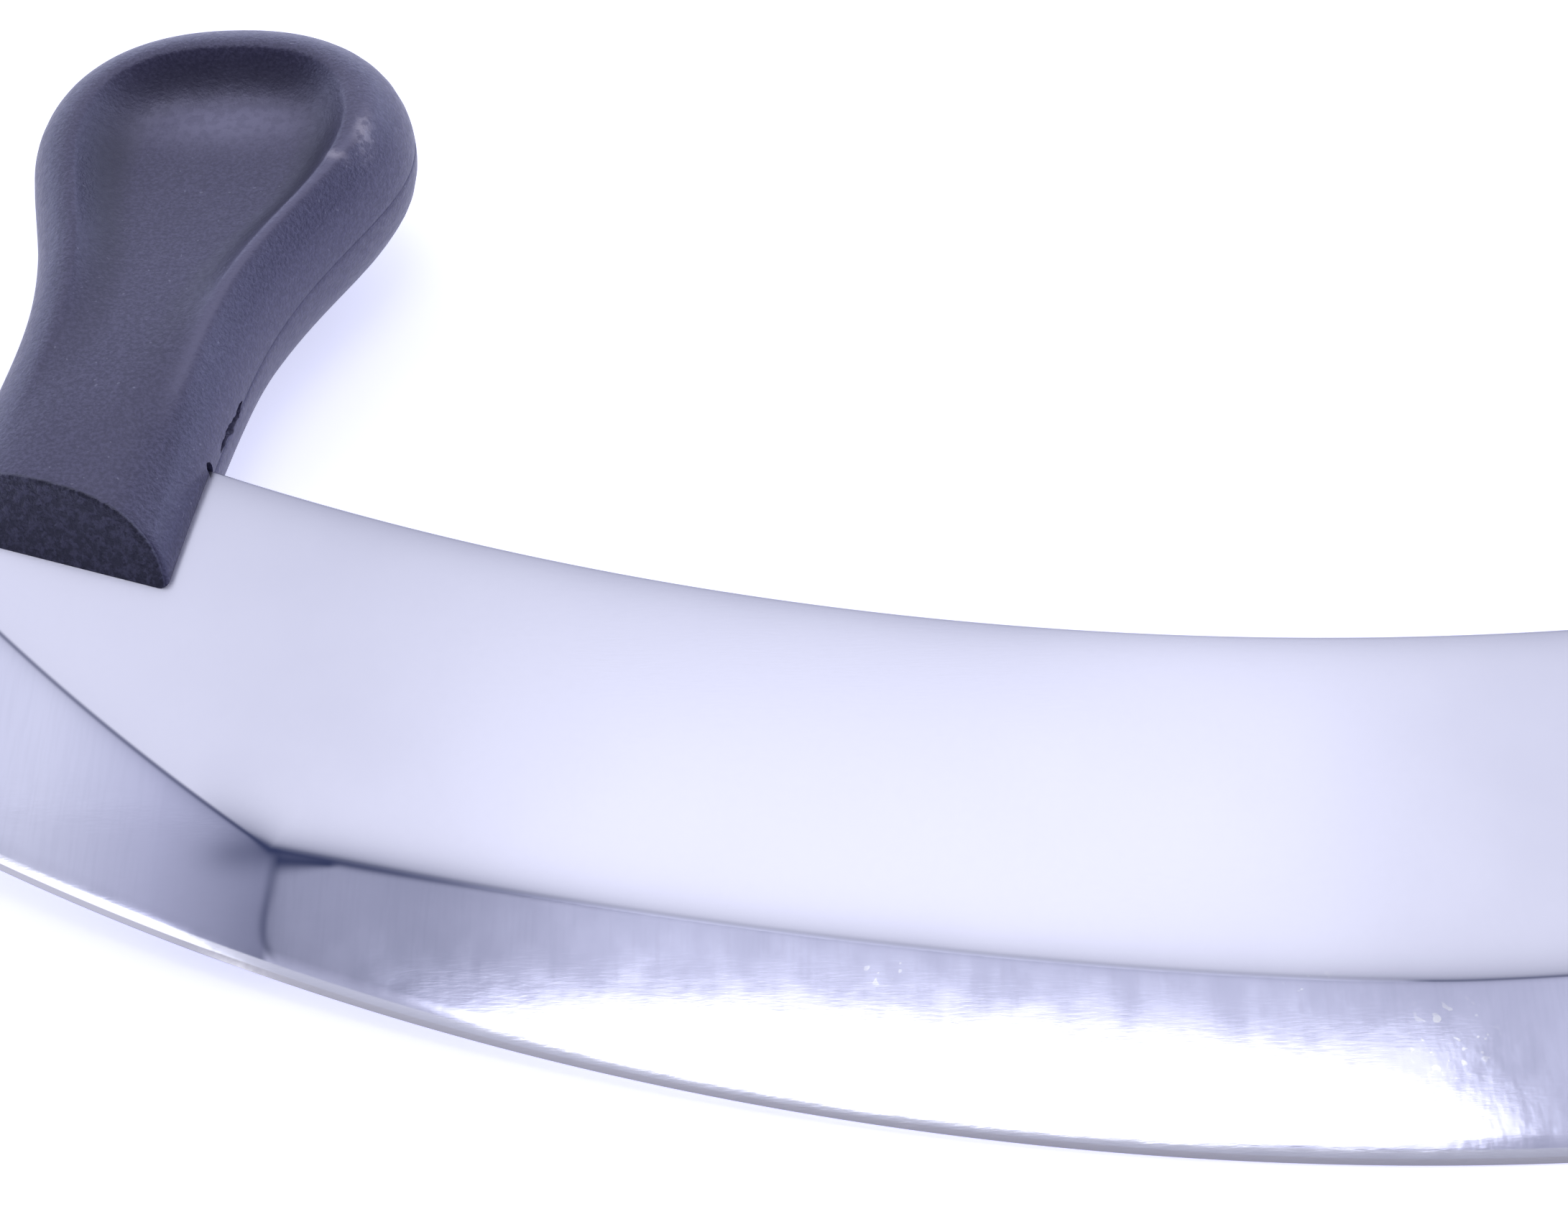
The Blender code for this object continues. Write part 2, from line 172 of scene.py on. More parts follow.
EDGE_CENTRE = Vector((0.0, EDGE_RADIUS))
SPINE_CENTRE = Vector((0.0, BLADE_HEIGHT + SPINE_RADIUS))
NECK_FOOT = Vector((HANDLE_X, HANDLE_Y))
NECK_AXIS = Vector((-math.sin(HANDLE_LEAN), math.cos(HANDLE_LEAN)))
NECK_ACROSS = Vector((math.cos(HANDLE_LEAN), math.sin(HANDLE_LEAN)))

# Camera: where it stands, the point of the table that it looks at, its roll and its lens
CAMERA_PLACE = (-0.04624, -0.14705, 0.16460)
CAMERA_TARGET = (-0.05047, -0.00335, 0.0)
CAMERA_ROLL = math.radians(2.381)
CAMERA_LENS = 57.745
SENSOR_WIDTH = 36.0
CAMERA_NEAR = 0.01

# Shading: the angles over which an edge stays sharp, and what the meshes keep for the materials
STEEL_SHARP_ANGLE = math.radians(8.0)
PLASTIC_SHARP_ANGLE = math.radians(50.0)
PLACE_NAME = "knife_place"
# Attributes for the painted light along the rim and the painted shade on the dish's wall
RIM_LIGHT_NAME = "rim_painted_light"
SHADE_NAME = "wall_shade"
ATTRIBUTE_VECTOR = 1
ATTRIBUTE_NUMBER = 2


def smooth_step(value):
    value = min(max(value, 0.0), 1.0)
    return value * value * (3.0 - 2.0 * value)


def blend(low, high, share):
    return low + (high - low) * share


def on_circle(centre, radius, angle):
    """A point on a circle, at an angle from its lowest point towards +X."""
    return centre + radius * Vector((math.sin(angle), -math.cos(angle)))


def angle_from(centre, point):
    return math.atan2(point.x - centre.x, centre.y - point.y)


def arc(centre, radius, start, end, steps):
    return [on_circle(centre, radius, blend(start, end, i / steps)) for i in range(steps + 1)]


def line_meets_circle(point, direction, centre, radius, first):
    along = (point - centre).dot(direction)
    root = math.sqrt(along * along - (point - centre).length_squared + radius * radius)
    return point + direction * (-along - root if first else -along + root)


def along_neck(across, along):
    return NECK_FOOT + NECK_ACROSS * across + NECK_AXIS * along


def mirrored(points):
    return [Vector((-point.x, point.y)) for point in points]


# The blade's shape

def edge_angles():
    """Stations along the right half of the edge, closer together on both sides of the crease."""
    corner = math.asin(BEVEL_CORNER_EDGE_X / EDGE_RADIUS)
    end = math.asin(TIP_GRIND_EDGE_X / EDGE_RADIUS)
    near = CREASE_HALF / EDGE_RADIUS
    angles = [blend(0.0, corner - near, step / EDGE_STEPS) for step in range(EDGE_STEPS)]
    angles += [corner - near, corner + near]
    angles += [blend(corner + near, end, step / TIP_GRIND_STEPS) for step in range(1, TIP_GRIND_STEPS + 1)]
    return angles


def half_outline(grow):
    """The sheet's right half from the middle of its spine round its tang and tip, then down past the edge."""
    spine_radius = SPINE_RADIUS - grow
    tang_half = TANG_WIDTH / 2 + grow
    inner_root = line_meets_circle(along_neck(-tang_half, 0.0), NECK_AXIS, SPINE_CENTRE, spine_radius, True)
    outer_root = line_meets_circle(along_neck(tang_half, 0.0), NECK_AXIS, SPINE_CENTRE, spine_radius, True)
    tang_centre = along_neck(0.0, TANG_TOP - TANG_WIDTH / 2)
    end_direction = Vector((math.cos(END_ANGLE), -math.sin(END_ANGLE)))
    end_normal = Vector((math.sin(END_ANGLE), math.cos(END_ANGLE)))
    end_point = along_neck(FOOT_WIDTH / 2 + END_MARGIN, 0.0)
    end_start = end_point + end_normal * grow
    end_top = line_meets_circle(end_start, end_direction, SPINE_CENTRE, spine_radius, False)
    tip_centre = line_meets_circle(
        end_point - end_normal * TIP_RADIUS,
        end_direction,
        EDGE_CENTRE,
        EDGE_RADIUS - TIP_RADIUS + TIP_CORNER,
        False,
    )
    tip_start = angle_from(tip_centre, tip_centre + end_normal)
    tip_end = angle_from(EDGE_CENTRE, tip_centre)
    neck_turn = angle_from(Vector((0.0, 0.0)), NECK_ACROSS)
    points = arc(SPINE_CENTRE, spine_radius, 0.0, angle_from(SPINE_CENTRE, inner_root), SPINE_STEPS)
    points += arc(tang_centre, tang_half, neck_turn - math.pi, neck_turn - 2 * math.pi, TANG_ARC_STEPS)
    points += [outer_root, end_top]
    points += arc(tip_centre, TIP_RADIUS + grow, tip_start, tip_end, TIP_ARC_STEPS)
    points += arc(EDGE_CENTRE, EDGE_RADIUS + CUT_OVERRUN, tip_end, 0.0, SPINE_STEPS)
    return points


def whole_outline(grow):
    right = half_outline(grow)
    return right + mirrored(right[1:-1])[::-1]


def mesh_from_rings(name, rings):
    """A closed solid through rings of points that have the same count, capped at both ends."""
    shape = bmesh.new()
    made = [[shape.verts.new(point) for point in ring] for ring in rings]
    for ring, following in zip(made, made[1:]):
        for i in range(len(ring)):
            j = (i + 1) % len(ring)
            shape.faces.new((ring[i], ring[j], following[j], following[i]))
    shape.faces.new(made[0])
    shape.faces.new(made[-1])
    bmesh.ops.recalc_face_normals(shape, faces=shape.faces)
    mesh = bpy.data.meshes.new(name)
    shape.to_mesh(mesh)
    shape.free()
    return mesh


def outline_prism(name, levels):
    """The sheet's outline drawn at several levels, each a pair of height and growth."""
    rings = [[(p.x, p.y, height) for p in whole_outline(grow)] for height, grow in levels]
    return mesh_from_rings(name, rings)


def shoulder_point(x):
    return Vector((x, BEVEL_HEIGHT + BEVEL_RISE * (x / BEVEL_CORNER_X) ** BEVEL_RISE_POWER))


def tip_grind_centre():
    return on_circle(shoulder_point(BEVEL_CORNER_X), -TIP_GRIND_RADIUS, TIP_GRIND_ANGLE)


def tip_grind_point(length):
    return on_circle(tip_grind_centre(), TIP_GRIND_RADIUS, TIP_GRIND_ANGLE + length / TIP_GRIND_RADIUS)


def half_stations():
    pairs = []
    for step, angle in enumerate(edge_angles()):
        edge = on_circle(EDGE_CENTRE, EDGE_RADIUS, angle)
        if step <= EDGE_STEPS:
            shoulder = shoulder_point((BEVEL_CORNER_X - CREASE_HALF) * step / EDGE_STEPS)
        else:
            beyond = (step - EDGE_STEPS - 1) / TIP_GRIND_STEPS
            shoulder = tip_grind_point(blend(CREASE_HALF, TIP_GRIND_LENGTH, beyond))
        pairs.append((shoulder, edge))
    return pairs


def ground_section(shoulder, edge):
    """The plate's section at a station, with close rows beside the shoulder so that it turns softly."""
    half = BLADE_THICKNESS / 2
    down = (edge - shoulder).normalized()
    cutting = edge - down * CUTTING_BEVEL_WIDTH
    bevel_length = (cutting - shoulder).length
    fall = half - CUTTING_BEVEL_THICKNESS / 2
    front = [(shoulder.x, HANDLE_Y + HANDLE_LENGTH, half)]
    front += [(shoulder.x, shoulder.y + rise, half) for rise in SHOULDER_ROWS]
    distances = list(BEVEL_ROWS)
    distances += [blend(BEVEL_ROWS[-1], bevel_length, i / BEVEL_STEPS) for i in range(1, BEVEL_STEPS + 1)]
    for distance in distances:
        place = shoulder + down * distance
        share = distance / bevel_length
        crown = BEVEL_CROWN * 4 * share * (1 - share)
        front.append((place.x, place.y, half - fall * share + crown))
    front.append((edge.x, edge.y, EDGE_THICKNESS / 2))
    back = [(x, y, -height) for x, y, height in front]
    return front + back[::-1]


def apply_boolean(target, cutter, operation):
    bpy.context.scene.collection.objects.link(cutter)
    modifier = target.modifiers.new(cutter.name, "BOOLEAN")
    modifier.operation = operation
    modifier.solver = "EXACT"
    modifier.object = cutter
    bpy.context.view_layer.update()
    shown = target.evaluated_get(bpy.context.evaluated_depsgraph_get())
    mesh = bpy.data.meshes.new_from_object(shown)
    target.modifiers.clear()
    target.data = mesh
    bpy.data.objects.remove(cutter)


def hole_pins(grow):
    """Round pins where the tangs' holes are."""
    pins = []
    for height in TANG_HOLE_HEIGHTS:
        ring = arc(along_neck(0.0, height), TANG_HOLE_DIAMETER / 2 - grow, 0.0, 2 * math.pi, HOLE_STEPS)[:-1]
        for points in (ring, mirrored(ring)):
            rings = [[(p.x, p.y, level) for p in points] for level in (-BLADE_THICKNESS, BLADE_THICKNESS)]
            pins.append(bpy.data.objects.new("pin", mesh_from_rings("pin", rings)))
    return pins


def make_blade():
    right = half_stations()
    left = [tuple(mirrored(pair)) for pair in right[1:]]
    rings = [ground_section(shoulder, edge) for shoulder, edge in left[::-1] + right]
    blade = bpy.data.objects.new("ground_blade", mesh_from_rings("ground_blade", rings))
    bpy.context.scene.collection.objects.link(blade)
    outer = BLADE_THICKNESS / 2 + CHAMFER_REACH
    inner = BLADE_THICKNESS / 2 - SPINE_CHAMFER
    cut = -(SPINE_CHAMFER + CHAMFER_REACH)
    levels = ((-outer, cut), (-inner, -OUTLINE_TRIM), (inner, -OUTLINE_TRIM), (outer, cut))
    prism = bpy.data.objects.new("outline", outline_prism("outline", levels))
    apply_boolean(blade, prism, "INTERSECT")
    for pin in hole_pins(0.0):
        apply_boolean(blade, pin, "DIFFERENCE")
    return blade


# The handles' shape

def lean_at(height):
    fade = min(max(height - LEAN_FADE_START, 0.0), LEAN_FADE_END - LEAN_FADE_START)
    upright = max(height - LEAN_FADE_END, 0.0)
    risen = height - upright - fade * fade / (LEAN_FADE_END - LEAN_FADE_START) / 2
    return risen * math.tan(HANDLE_LEAN)


def half_width(height):
    flare = max(1.0 - height / NECK_HEIGHT, 0.0)
    swell = max((height - NECK_HEIGHT) / (BULB_HEIGHT - NECK_HEIGHT), 0.0)
    neck = blend(NECK_WIDTH, FOOT_WIDTH, flare * flare) / 2
    return blend(neck, BULB_WIDTH / 2, smooth_step(swell**FLANK_SKEW))


def roll_facts(height):
    """The rolled flank's width, power and half thickness at a height."""
    bulb_share = smooth_step((height - DISH_START) / (DOME_END - DISH_START))
    roll = blend(half_width(height), RIM_ROLL, bulb_share)
    power = blend(NECK_DOME_POWER, RIM_ROLL_POWER, bulb_share)
    thickness = blend(FOOT_THICKNESS, HANDLE_THICKNESS, smooth_step(height / BULB_HEIGHT))
    return roll, power, thickness / 2


def rolled(height, inset):
    roll, power, half = roll_facts(height)
    remaining = max(1.0 - inset / roll, 0.0)
    return half * (1.0 - remaining**power) ** (1 / power)


def inset_at_level(height, level):
    roll, power, half = roll_facts(height)
    return roll * (1.0 - (1.0 - (level / half) ** power) ** (1 / power))


def dish_border(half, height):
    """How wide the rim outside the dish and the dish's wall are; half is 1 for the handle's outer half."""
    flank = DISH_OUTER_RIM_WIDTH if half > 0.0 else DISH_INNER_RIM_WIDTH
    risen = smooth_step((height - DISH_RIM_RISE_START) / (DISH_RIM_RISE_END - DISH_RIM_RISE_START))
    return blend(flank, DISH_TOP_RIM_WIDTH, risen), blend(DISH_WALL_WIDTH, DISH_TOP_WALL_WIDTH, risen)


def face_height(height, reach, border, inset):
    body = rolled(height, inset)
    fade = smooth_step((height - DISH_START) / (BULB_HEIGHT - DISH_START))
    floor = rolled(height, reach) - DISH_DEPTH * fade
    rim, wall = border
    climb = min(max(1.0 - (inset - rim) / min(wall, reach - rim), 0.0), 2.0)
    dish = blend(floor, rolled(height, rim), climb**DISH_WALL_POWER)
    gap = body - dish
    softness = RIDGE_SOFTNESS * fade
    return (body + dish - math.sqrt(gap * gap + softness * softness)) / 2


def ridge_share(half, height):
    """How much of the rounded bead the inner flank's ridge has at a height."""
    if half > 0.0:
        return 0.0
    start, end = RIDGE_BEAD_START, RIDGE_BEAD_END
    rise = smooth_step((height - start[0]) / (start[1] - start[0]))
    return rise * smooth_step((end[1] - height) / (end[1] - end[0]))


def hump(value, width):
    return math.exp(-((value / width) ** 2))


def column_inset(height, reach, rim, column):
    """How far in from the parting line a column lies, the first ones by their level over the middle plane."""
    levels = len(SEAM_LEVELS)
    if column < levels:
        return inset_at_level(height, SEAM_LEVELS[column])
    start = inset_at_level(height, SEAM_LEVELS[-1])
    if column < levels + ROLL_STEPS:
        return blend(start, rim, (column - levels + 1) / ROLL_STEPS)
    return blend(rim, reach, ((column - levels - ROLL_STEPS + 1) / DISH_STEPS) ** DISH_SPACING_POWER)


def skin_place(half, outer, centre, column):
    """One point of the skin's front half, in the handle's own plane with its foot at the origin."""
    reach = (outer - centre).length
    border = dish_border(half, outer.y)
    inset = column_inset(centre.y, reach, border[0], column)
    level = 0.0 if column == 0 else max(face_height(centre.y, reach, border, inset), 0.0)
    level += RIDGE_BEAD * ridge_share(half, outer.y) * hump(inset - RIDGE_BEAD_INSET, RIDGE_BEAD_WIDTH)
    pulled = inset + (SEAM_INSETS[column] if column < len(SEAM_INSETS) else 0.0)
    flat = outer + (centre - outer) * (pulled / reach)
    return Vector((half * flat.x - lean_at(flat.y), flat.y, level))


def side_place(half, height, column):
    return skin_place(half, Vector((half_width(height), height)), Vector((0.0, height)), column)


def foot_gap(place):
    """How far a point lies above the foot's sloping end face."""
    lifted = place.y * math.cos(FOOT_SLOPE) - place.x * math.sin(FOOT_SLOPE)
    return lifted - place.z * math.tan(FOOT_DRAFT)


def foot_height(half, column):
    low, high = -2 * CUT_OVERRUN, 3 * CUT_OVERRUN
    for _ in range(SOLVE_STEPS):
        middle = (low + high) / 2
        if foot_gap(side_place(half, middle, column)) < 0.0:
            low = middle
        else:
            high = middle
    return high


def crown_outline():
    pairs = []
    crown = HANDLE_LENGTH - BULB_HEIGHT
    for step in range(1, CROWN_STEPS + 1):
        turn = math.pi / 2 * step / CROWN_STEPS
        across = BULB_WIDTH / 2 * max(math.cos(turn), 0.0) ** (2 / CROWN_POWER)
        above = crown * math.sin(turn) ** (2 / CROWN_POWER)
        pairs.append((Vector((across, BULB_HEIGHT + above)), Vector((0.0, BULB_HEIGHT))))
    return pairs


def column_places(half, column):
    """One column of the skin, from the foot's middle line up its end face, round the foot's edge and up."""
    corner_height = foot_height(half, column)
    corner = side_place(half, corner_height, column)
    inset = column_inset(corner_height, FOOT_WIDTH / 2, dish_border(half, corner_height)[0], column)
    near_seam = 1.0 - smooth_step(inset / FOOT_CORNER_REACH)
    radius = blend(FOOT_EDGE_RADIUS, FOOT_CORNER_RADIUS, near_seam)
    along = corner.x * math.cos(FOOT_SLOPE) + corner.y * math.sin(FOOT_SLOPE)
    target_along = along * FOOT_TARGET_SHARE
    target = Vector((target_along * math.cos(FOOT_SLOPE), target_along * math.sin(FOOT_SLOPE), 0.0))
    under = corner + (target - corner).normalized() * radius
    above_height = corner_height + radius
    above = side_place(half, above_height, column)
    places = [target.lerp(under, i / FOOT_STEPS) for i in range(FOOT_STEPS)]
    for step in range(FILLET_STEPS):
        t = step / FILLET_STEPS
        places.append(under * (1 - t) ** 2 + corner * 2 * t * (1 - t) + above * t * t)
    for step in range(SIDE_STEPS + 1):
        places.append(side_place(half, blend(above_height, BULB_HEIGHT, step / SIDE_STEPS), column))
    for outer, centre in crown_outline():
        places.append(skin_place(half, outer, centre, column))
    return places


def handle_mesh(name, side):
    """A handle's whole skin, in the knife's plane; side is 1 for the right handle and -1 for the left one."""
    shape = bmesh.new()
    for half in (1.0, -1.0):
        columns = [column_places(half, column) for column in range(COLUMNS)]
        for face in (1.0, -1.0):
            made = []
            for column in columns:
                places = [
                    (side * (p.x + HANDLE_X), p.y * SKIN_TRIM_ALONG + HANDLE_Y, face * p.z * SKIN_TRIM_OUT)
                    for p in column
                ]
                made.append([shape.verts.new(place) for place in places])
            for column, following in zip(made, made[1:]):
                for i in range(len(column) - 1):
                    shape.faces.new((column[i], column[i + 1], following[i + 1], following[i]))
    bmesh.ops.remove_doubles(shape, verts=shape.verts, dist=MERGE_DISTANCE)
    bmesh.ops.dissolve_degenerate(shape, edges=shape.edges, dist=MERGE_DISTANCE)
    bmesh.ops.recalc_face_normals(shape, faces=shape.faces)
    mesh = bpy.data.meshes.new(name)
    shape.to_mesh(mesh)
    shape.free()
    return mesh


def inner_seam(height):
    """A point of the left handle's parting line, on its inner flank."""
    return Vector((half_width(height) + lean_at(height) - HANDLE_X, height + HANDLE_Y, 0.0))


def summed_sines(sines, share, start=0.0):
    return sum((size * math.sin(speed * share + begin) for size, speed, begin in sines), start)


def damage_cutters():
    """The left handle's torn seam, and the small notch where its flank meets the spine."""
    rings = []
    for step in range(TEAR_STEPS + 1):
        share = step / TEAR_STEPS
        place = inner_seam(blend(*TEAR_SPAN, share))
        ragged = summed_sines(TEAR_RAGGED, share, 1.0)
        width = TEAR_HALF_WIDTH * max(math.sin(math.pi * share), TEAR_END_SHARE) ** TEAR_END_POWER * ragged
        middle = TEAR_LEVEL + TEAR_HALF_WIDTH * summed_sines(TEAR_WANDER, share)
        outside = place + Vector((TEAR_DEPTH / 2, 0.0, middle))
        spread = Vector((0.0, 0.0, width * TEAR_SPREAD))
        rings.append([place + Vector((-TEAR_DEPTH, 0.0, middle)), outside + spread, outside - spread])
    notch = bmesh.new()
    bmesh.ops.create_icosphere(notch, subdivisions=2, radius=1.0)
    centre = inner_seam(NOTCH_HEIGHT) + Vector((0.0, 0.0, NOTCH_LEVEL))
    speed_x, speed_z = NOTCH_WOBBLE_SPEEDS
    for vertex in notch.verts:
        wobble = 1.0 + NOTCH_WOBBLE * math.sin(speed_x * vertex.co.x + speed_z * vertex.co.z)
        vertex.co = centre + Vector(vertex.co[i] * NOTCH_RADII[i] * wobble for i in range(3))
    notch_mesh = bpy.data.meshes.new("notch")
    notch.to_mesh(notch_mesh)
    notch.free()
    tear = bpy.data.objects.new("tear", mesh_from_rings("tear", rings))
    return [tear, bpy.data.objects.new("notch", notch_mesh)]


def handle_tones(point):
    """How much painted light the handle's skin gets at a point, along the rim, and how much painted shade, on
    the dish's wall.
    """
    height = (point.y - HANDLE_Y) / SKIN_TRIM_ALONG
    across = abs(point.x) - HANDLE_X + lean_at(height)
    half = 1.0 if across > 0.0 else -1.0
    rim, wall = dish_border(half, height)
    if height < BULB_HEIGHT:
        inset = half_width(height) - abs(across)
    else:
        crown = HANDLE_LENGTH - BULB_HEIGHT
        above = height - BULB_HEIGHT
        ratio = (2 * abs(across) / BULB_WIDTH) ** CROWN_POWER + (above / crown) ** CROWN_POWER
        ratio = max(ratio, RATIO_FLOOR) ** (1 / CROWN_POWER)
        inset = math.hypot(across, above) * (1 / ratio - 1)
    # Painted light along the inner ridge and the crown's rim, painted shade down the dish's wall
    rim_light = ridge_share(half, height) * hump(inset - RIDGE_CREST_INSET, RIDGE_CREST_WIDTH)
    crown_share = smooth_step((height - CROWN_LIGHT_START) / (HANDLE_LENGTH - CROWN_LIGHT_START))
    rim_light = max(rim_light, CROWN_LIGHT * crown_share * smooth_step((rim - inset) / CROWN_LIGHT_REACH))
    down_wall = min(max((inset - rim) / wall, 0.0), 1.0)
    fade = smooth_step((height - DISH_START) / (BULB_HEIGHT - DISH_START))
    return rim_light, math.sin(math.pi * down_wall) * fade


def make_handle(name, side):
    handle = bpy.data.objects.new(name, handle_mesh(name, side))
    bpy.context.scene.collection.objects.link(handle)
    level = BLADE_THICKNESS / 2 + CONTACT_GAP
    sheet = outline_prism("sheet", ((-level, CONTACT_GAP), (level, CONTACT_GAP)))
    cutter = bpy.data.objects.new("sheet", sheet)
    bpy.context.scene.collection.objects.link(cutter)
    pins = hole_pins(CONTACT_GAP)
    for pin in pins:
        apply_boolean(cutter, pin, "DIFFERENCE")
    bpy.context.scene.collection.objects.unlink(cutter)
    apply_boolean(handle, cutter, "DIFFERENCE")
    if side < 0.0:
        for damage in damage_cutters():
            apply_boolean(handle, damage, "DIFFERENCE")
    tones = [handle_tones(vertex.co) for vertex in handle.data.vertices]
    for attribute_name, values in zip((RIM_LIGHT_NAME, SHADE_NAME), zip(*tones)):
        kept = handle.data.attributes.new(attribute_name, "FLOAT", "POINT")
        kept.data.foreach_set("value", values)
    return handle


# Node trees

def colour(red, green, blue):
    return (red, green, blue, 1.0)


class Nodes:
    """A node tree, built by short calls."""

    def __init__(self, tree):
        self.tree = tree

    def put(self, socket, value):
        if isinstance(value, bpy.types.NodeSocket):
            self.tree.links.new(value, socket)
        elif value is not None:
            socket.default_value = value

    def add(self, kind, inputs=(), **settings):
        """A new node; its inputs are given in order, or by their number or name."""
        made = self.tree.nodes.new(kind)
        for key, value in settings.items():
            setattr(made, key, value)
        pairs = inputs.items() if isinstance(inputs, dict) else enumerate(inputs)
        for key, value in pairs:
            self.put(made.inputs[key], value)
        return made

    def node(self, kind, inputs=(), output=0, **settings):
        return self.add(kind, inputs, **settings).outputs[output]

    def parts(self, vector):
        """A vector's X, Y and Z."""
        return self.add("ShaderNodeSeparateXYZ", (vector,)).outputs

    def math(self, operation, *values):
        return self.node("ShaderNodeMath", values, operation=operation)

    def times(self, first, second):
        return self.math("MULTIPLY", first, second)

    def negative(self, value):
        return self.times(value, -1.0)

    def rest_of(self, share):
        return self.math("SUBTRACT", 1.0, share)

    def distance(self, place, centre):
        return self.node("ShaderNodeVectorMath", (place, centre), 1, operation="DISTANCE")

    def ramp(self, value, low, high, to_low=0.0, to_high=1.0, smooth=True):
        kind = "SMOOTHSTEP" if smooth else "LINEAR"
        return self.node("ShaderNodeMapRange", (value, low, high, to_low, to_high), interpolation_type=kind)

    def mix(self, share, low, high, blend_type="MIX"):
        """A colour between two others."""
        inputs = {0: share, 6: low, 7: high}
        return self.node("ShaderNodeMix", inputs, 2, data_type="RGBA", blend_type=blend_type)

    def between(self, share, low, high):
        """A number between two others."""
        return self.node("ShaderNodeMix", {0: share, 2: low, 3: high})

    def falling(self, distance, reach, depth):
        """A share that fades as the distance grows from zero."""
        steps = self.math("DIVIDE", self.math("MAXIMUM", distance, 0.0), -reach)
        return self.times(self.math("EXPONENT", steps), depth)

    def around(self, distance, width, depth):
        """A share that fades on both sides of zero distance."""
        steps = self.math("DIVIDE", distance, width)
        return self.times(self.math("EXPONENT", self.negative(self.times(steps, steps))), depth)


class Paint(Nodes):
    """A material's node tree."""

    def __init__(self, name):
        self.material = bpy.data.materials.new(name)
        self.material.use_nodes = True
        super().__init__(self.material.node_tree)
        self.shader = self.tree.nodes["Principled BSDF"]

    def give(self, name, value):
        self.put(self.shader.inputs[name], value)

    def attribute(self, name, output):
        return self.node("ShaderNodeAttribute", (), output, attribute_name=name)

    def noise(self, place, scale, detail, roughness=0.5):
        inputs = {"Vector": place, "Scale": scale, "Detail": detail, "Roughness": roughness}
        return self.node("ShaderNodeTexNoise", inputs)

    def stretched_noise(self, place, scales, detail, turn=0.0):
        """Noise with a scale of its own along each axis."""
        inputs = {"Vector": place, "Scale": scales, "Rotation": (0.0, 0.0, turn)}
        return self.noise(self.node("ShaderNodeMapping", inputs), 1.0, detail)

    def bump(self, height, distance, strength, normal=None):
        inputs = {"Strength": strength, "Distance": distance, "Height": height, "Normal": normal}
        return self.node("ShaderNodeBump", inputs)


# Steel: colours, where a pair or a row of three is blended

FLAT_COLOURS = (colour(0.71, 0.715, 0.85), colour(0.77, 0.775, 0.90))
SCUFF_COLOUR = colour(0.60, 0.605, 0.74)
BEVEL_COLOURS = (colour(0.645, 0.655, 0.845), colour(0.675, 0.685, 0.875))
# The tip's grind: painted shade, darkest by the crease and paler towards the tip
TIP_COLOURS = (colour(0.25, 0.26, 0.38), colour(0.47, 0.48, 0.64), colour(0.64, 0.65, 0.80))
BRUSH_COLOUR = colour(0.36, 0.37, 0.50)
CUT_EDGE_COLOURS = (colour(0.42, 0.43, 0.54), colour(0.56, 0.57, 0.70))
CUTTING_COLOUR = colour(0.86, 0.87, 1.0)
SHARP_EDGE_COLOURS = (colour(0.80, 0.79, 0.88), colour(0.24, 0.24, 0.29))
SPECK_COLOUR = colour(0.92, 0.93, 1.0)
STEEL_SHADE_COLOUR = colour(0.032, 0.042, 0.105)

# Steel: noises, each with its scale, its detail and, on the bevel's clouds, a turn
FLAT_CLOUDS = (60.0, 4.0)
STEEL_GRAIN = ((900.0, 5200.0, 900.0), 3.0)
BEVEL_CLOUDS = ((420.0, 260.0, 300.0), 3.0, 0.5)
BRUSH_MARKS = ((2600.0, 160.0, 300.0), 3.0)
SCUFFS = (2600.0, 3.0)
SPECK_NOISE = (1300.0, 1.0)
BEVEL_WAVES = ((130.0, 170.0, 60.0), 3.0)
BEVEL_SPOTS = ((700.0, 420.0, 300.0), 2.0)
CLOUD_SPAN = (0.3, 0.7)
MARK_SPAN = (0.40, 0.75)
SPECK_SPAN = (0.64, 0.70)
SCUFF_SHARE = 0.05
BRUSH_SHARES = (0.0, 1.0, 0.06, 0.07)

# Steel: where small pale specks gather on the bevel, as the middle and how far they reach
STEEL_SPECKS = (((-0.0010, 0.0095), 0.0042), ((-0.0110, 0.0140), 0.0022), ((-0.0429, 0.0161), 0.0022))

# Steel: where zones begin and end, across a line or along the blade
GROUND_SPAN = (0.0002, -0.0002)
CREASE_SPAN = (-0.0004, 0.0004)
CUTTING_SPAN = (0.0012, 0.0010)
CUT_EDGE_LEVELS = (0.00094, 0.00080)
SHARP_EDGE_SPAN = (0.00055, 0.00040)
SHARP_EDGE_DULLING = (0.088, 0.097)
TIP_NEAR_SPAN = (0.0, 0.0100)
TIP_FAR_SPAN = (0.0095, 0.0200)
AWAY_FROM_EDGE = (0.0008, 0.0022)
SPOTTED_SPAN = (0.0090, 0.0020, 0.15, 1.0)

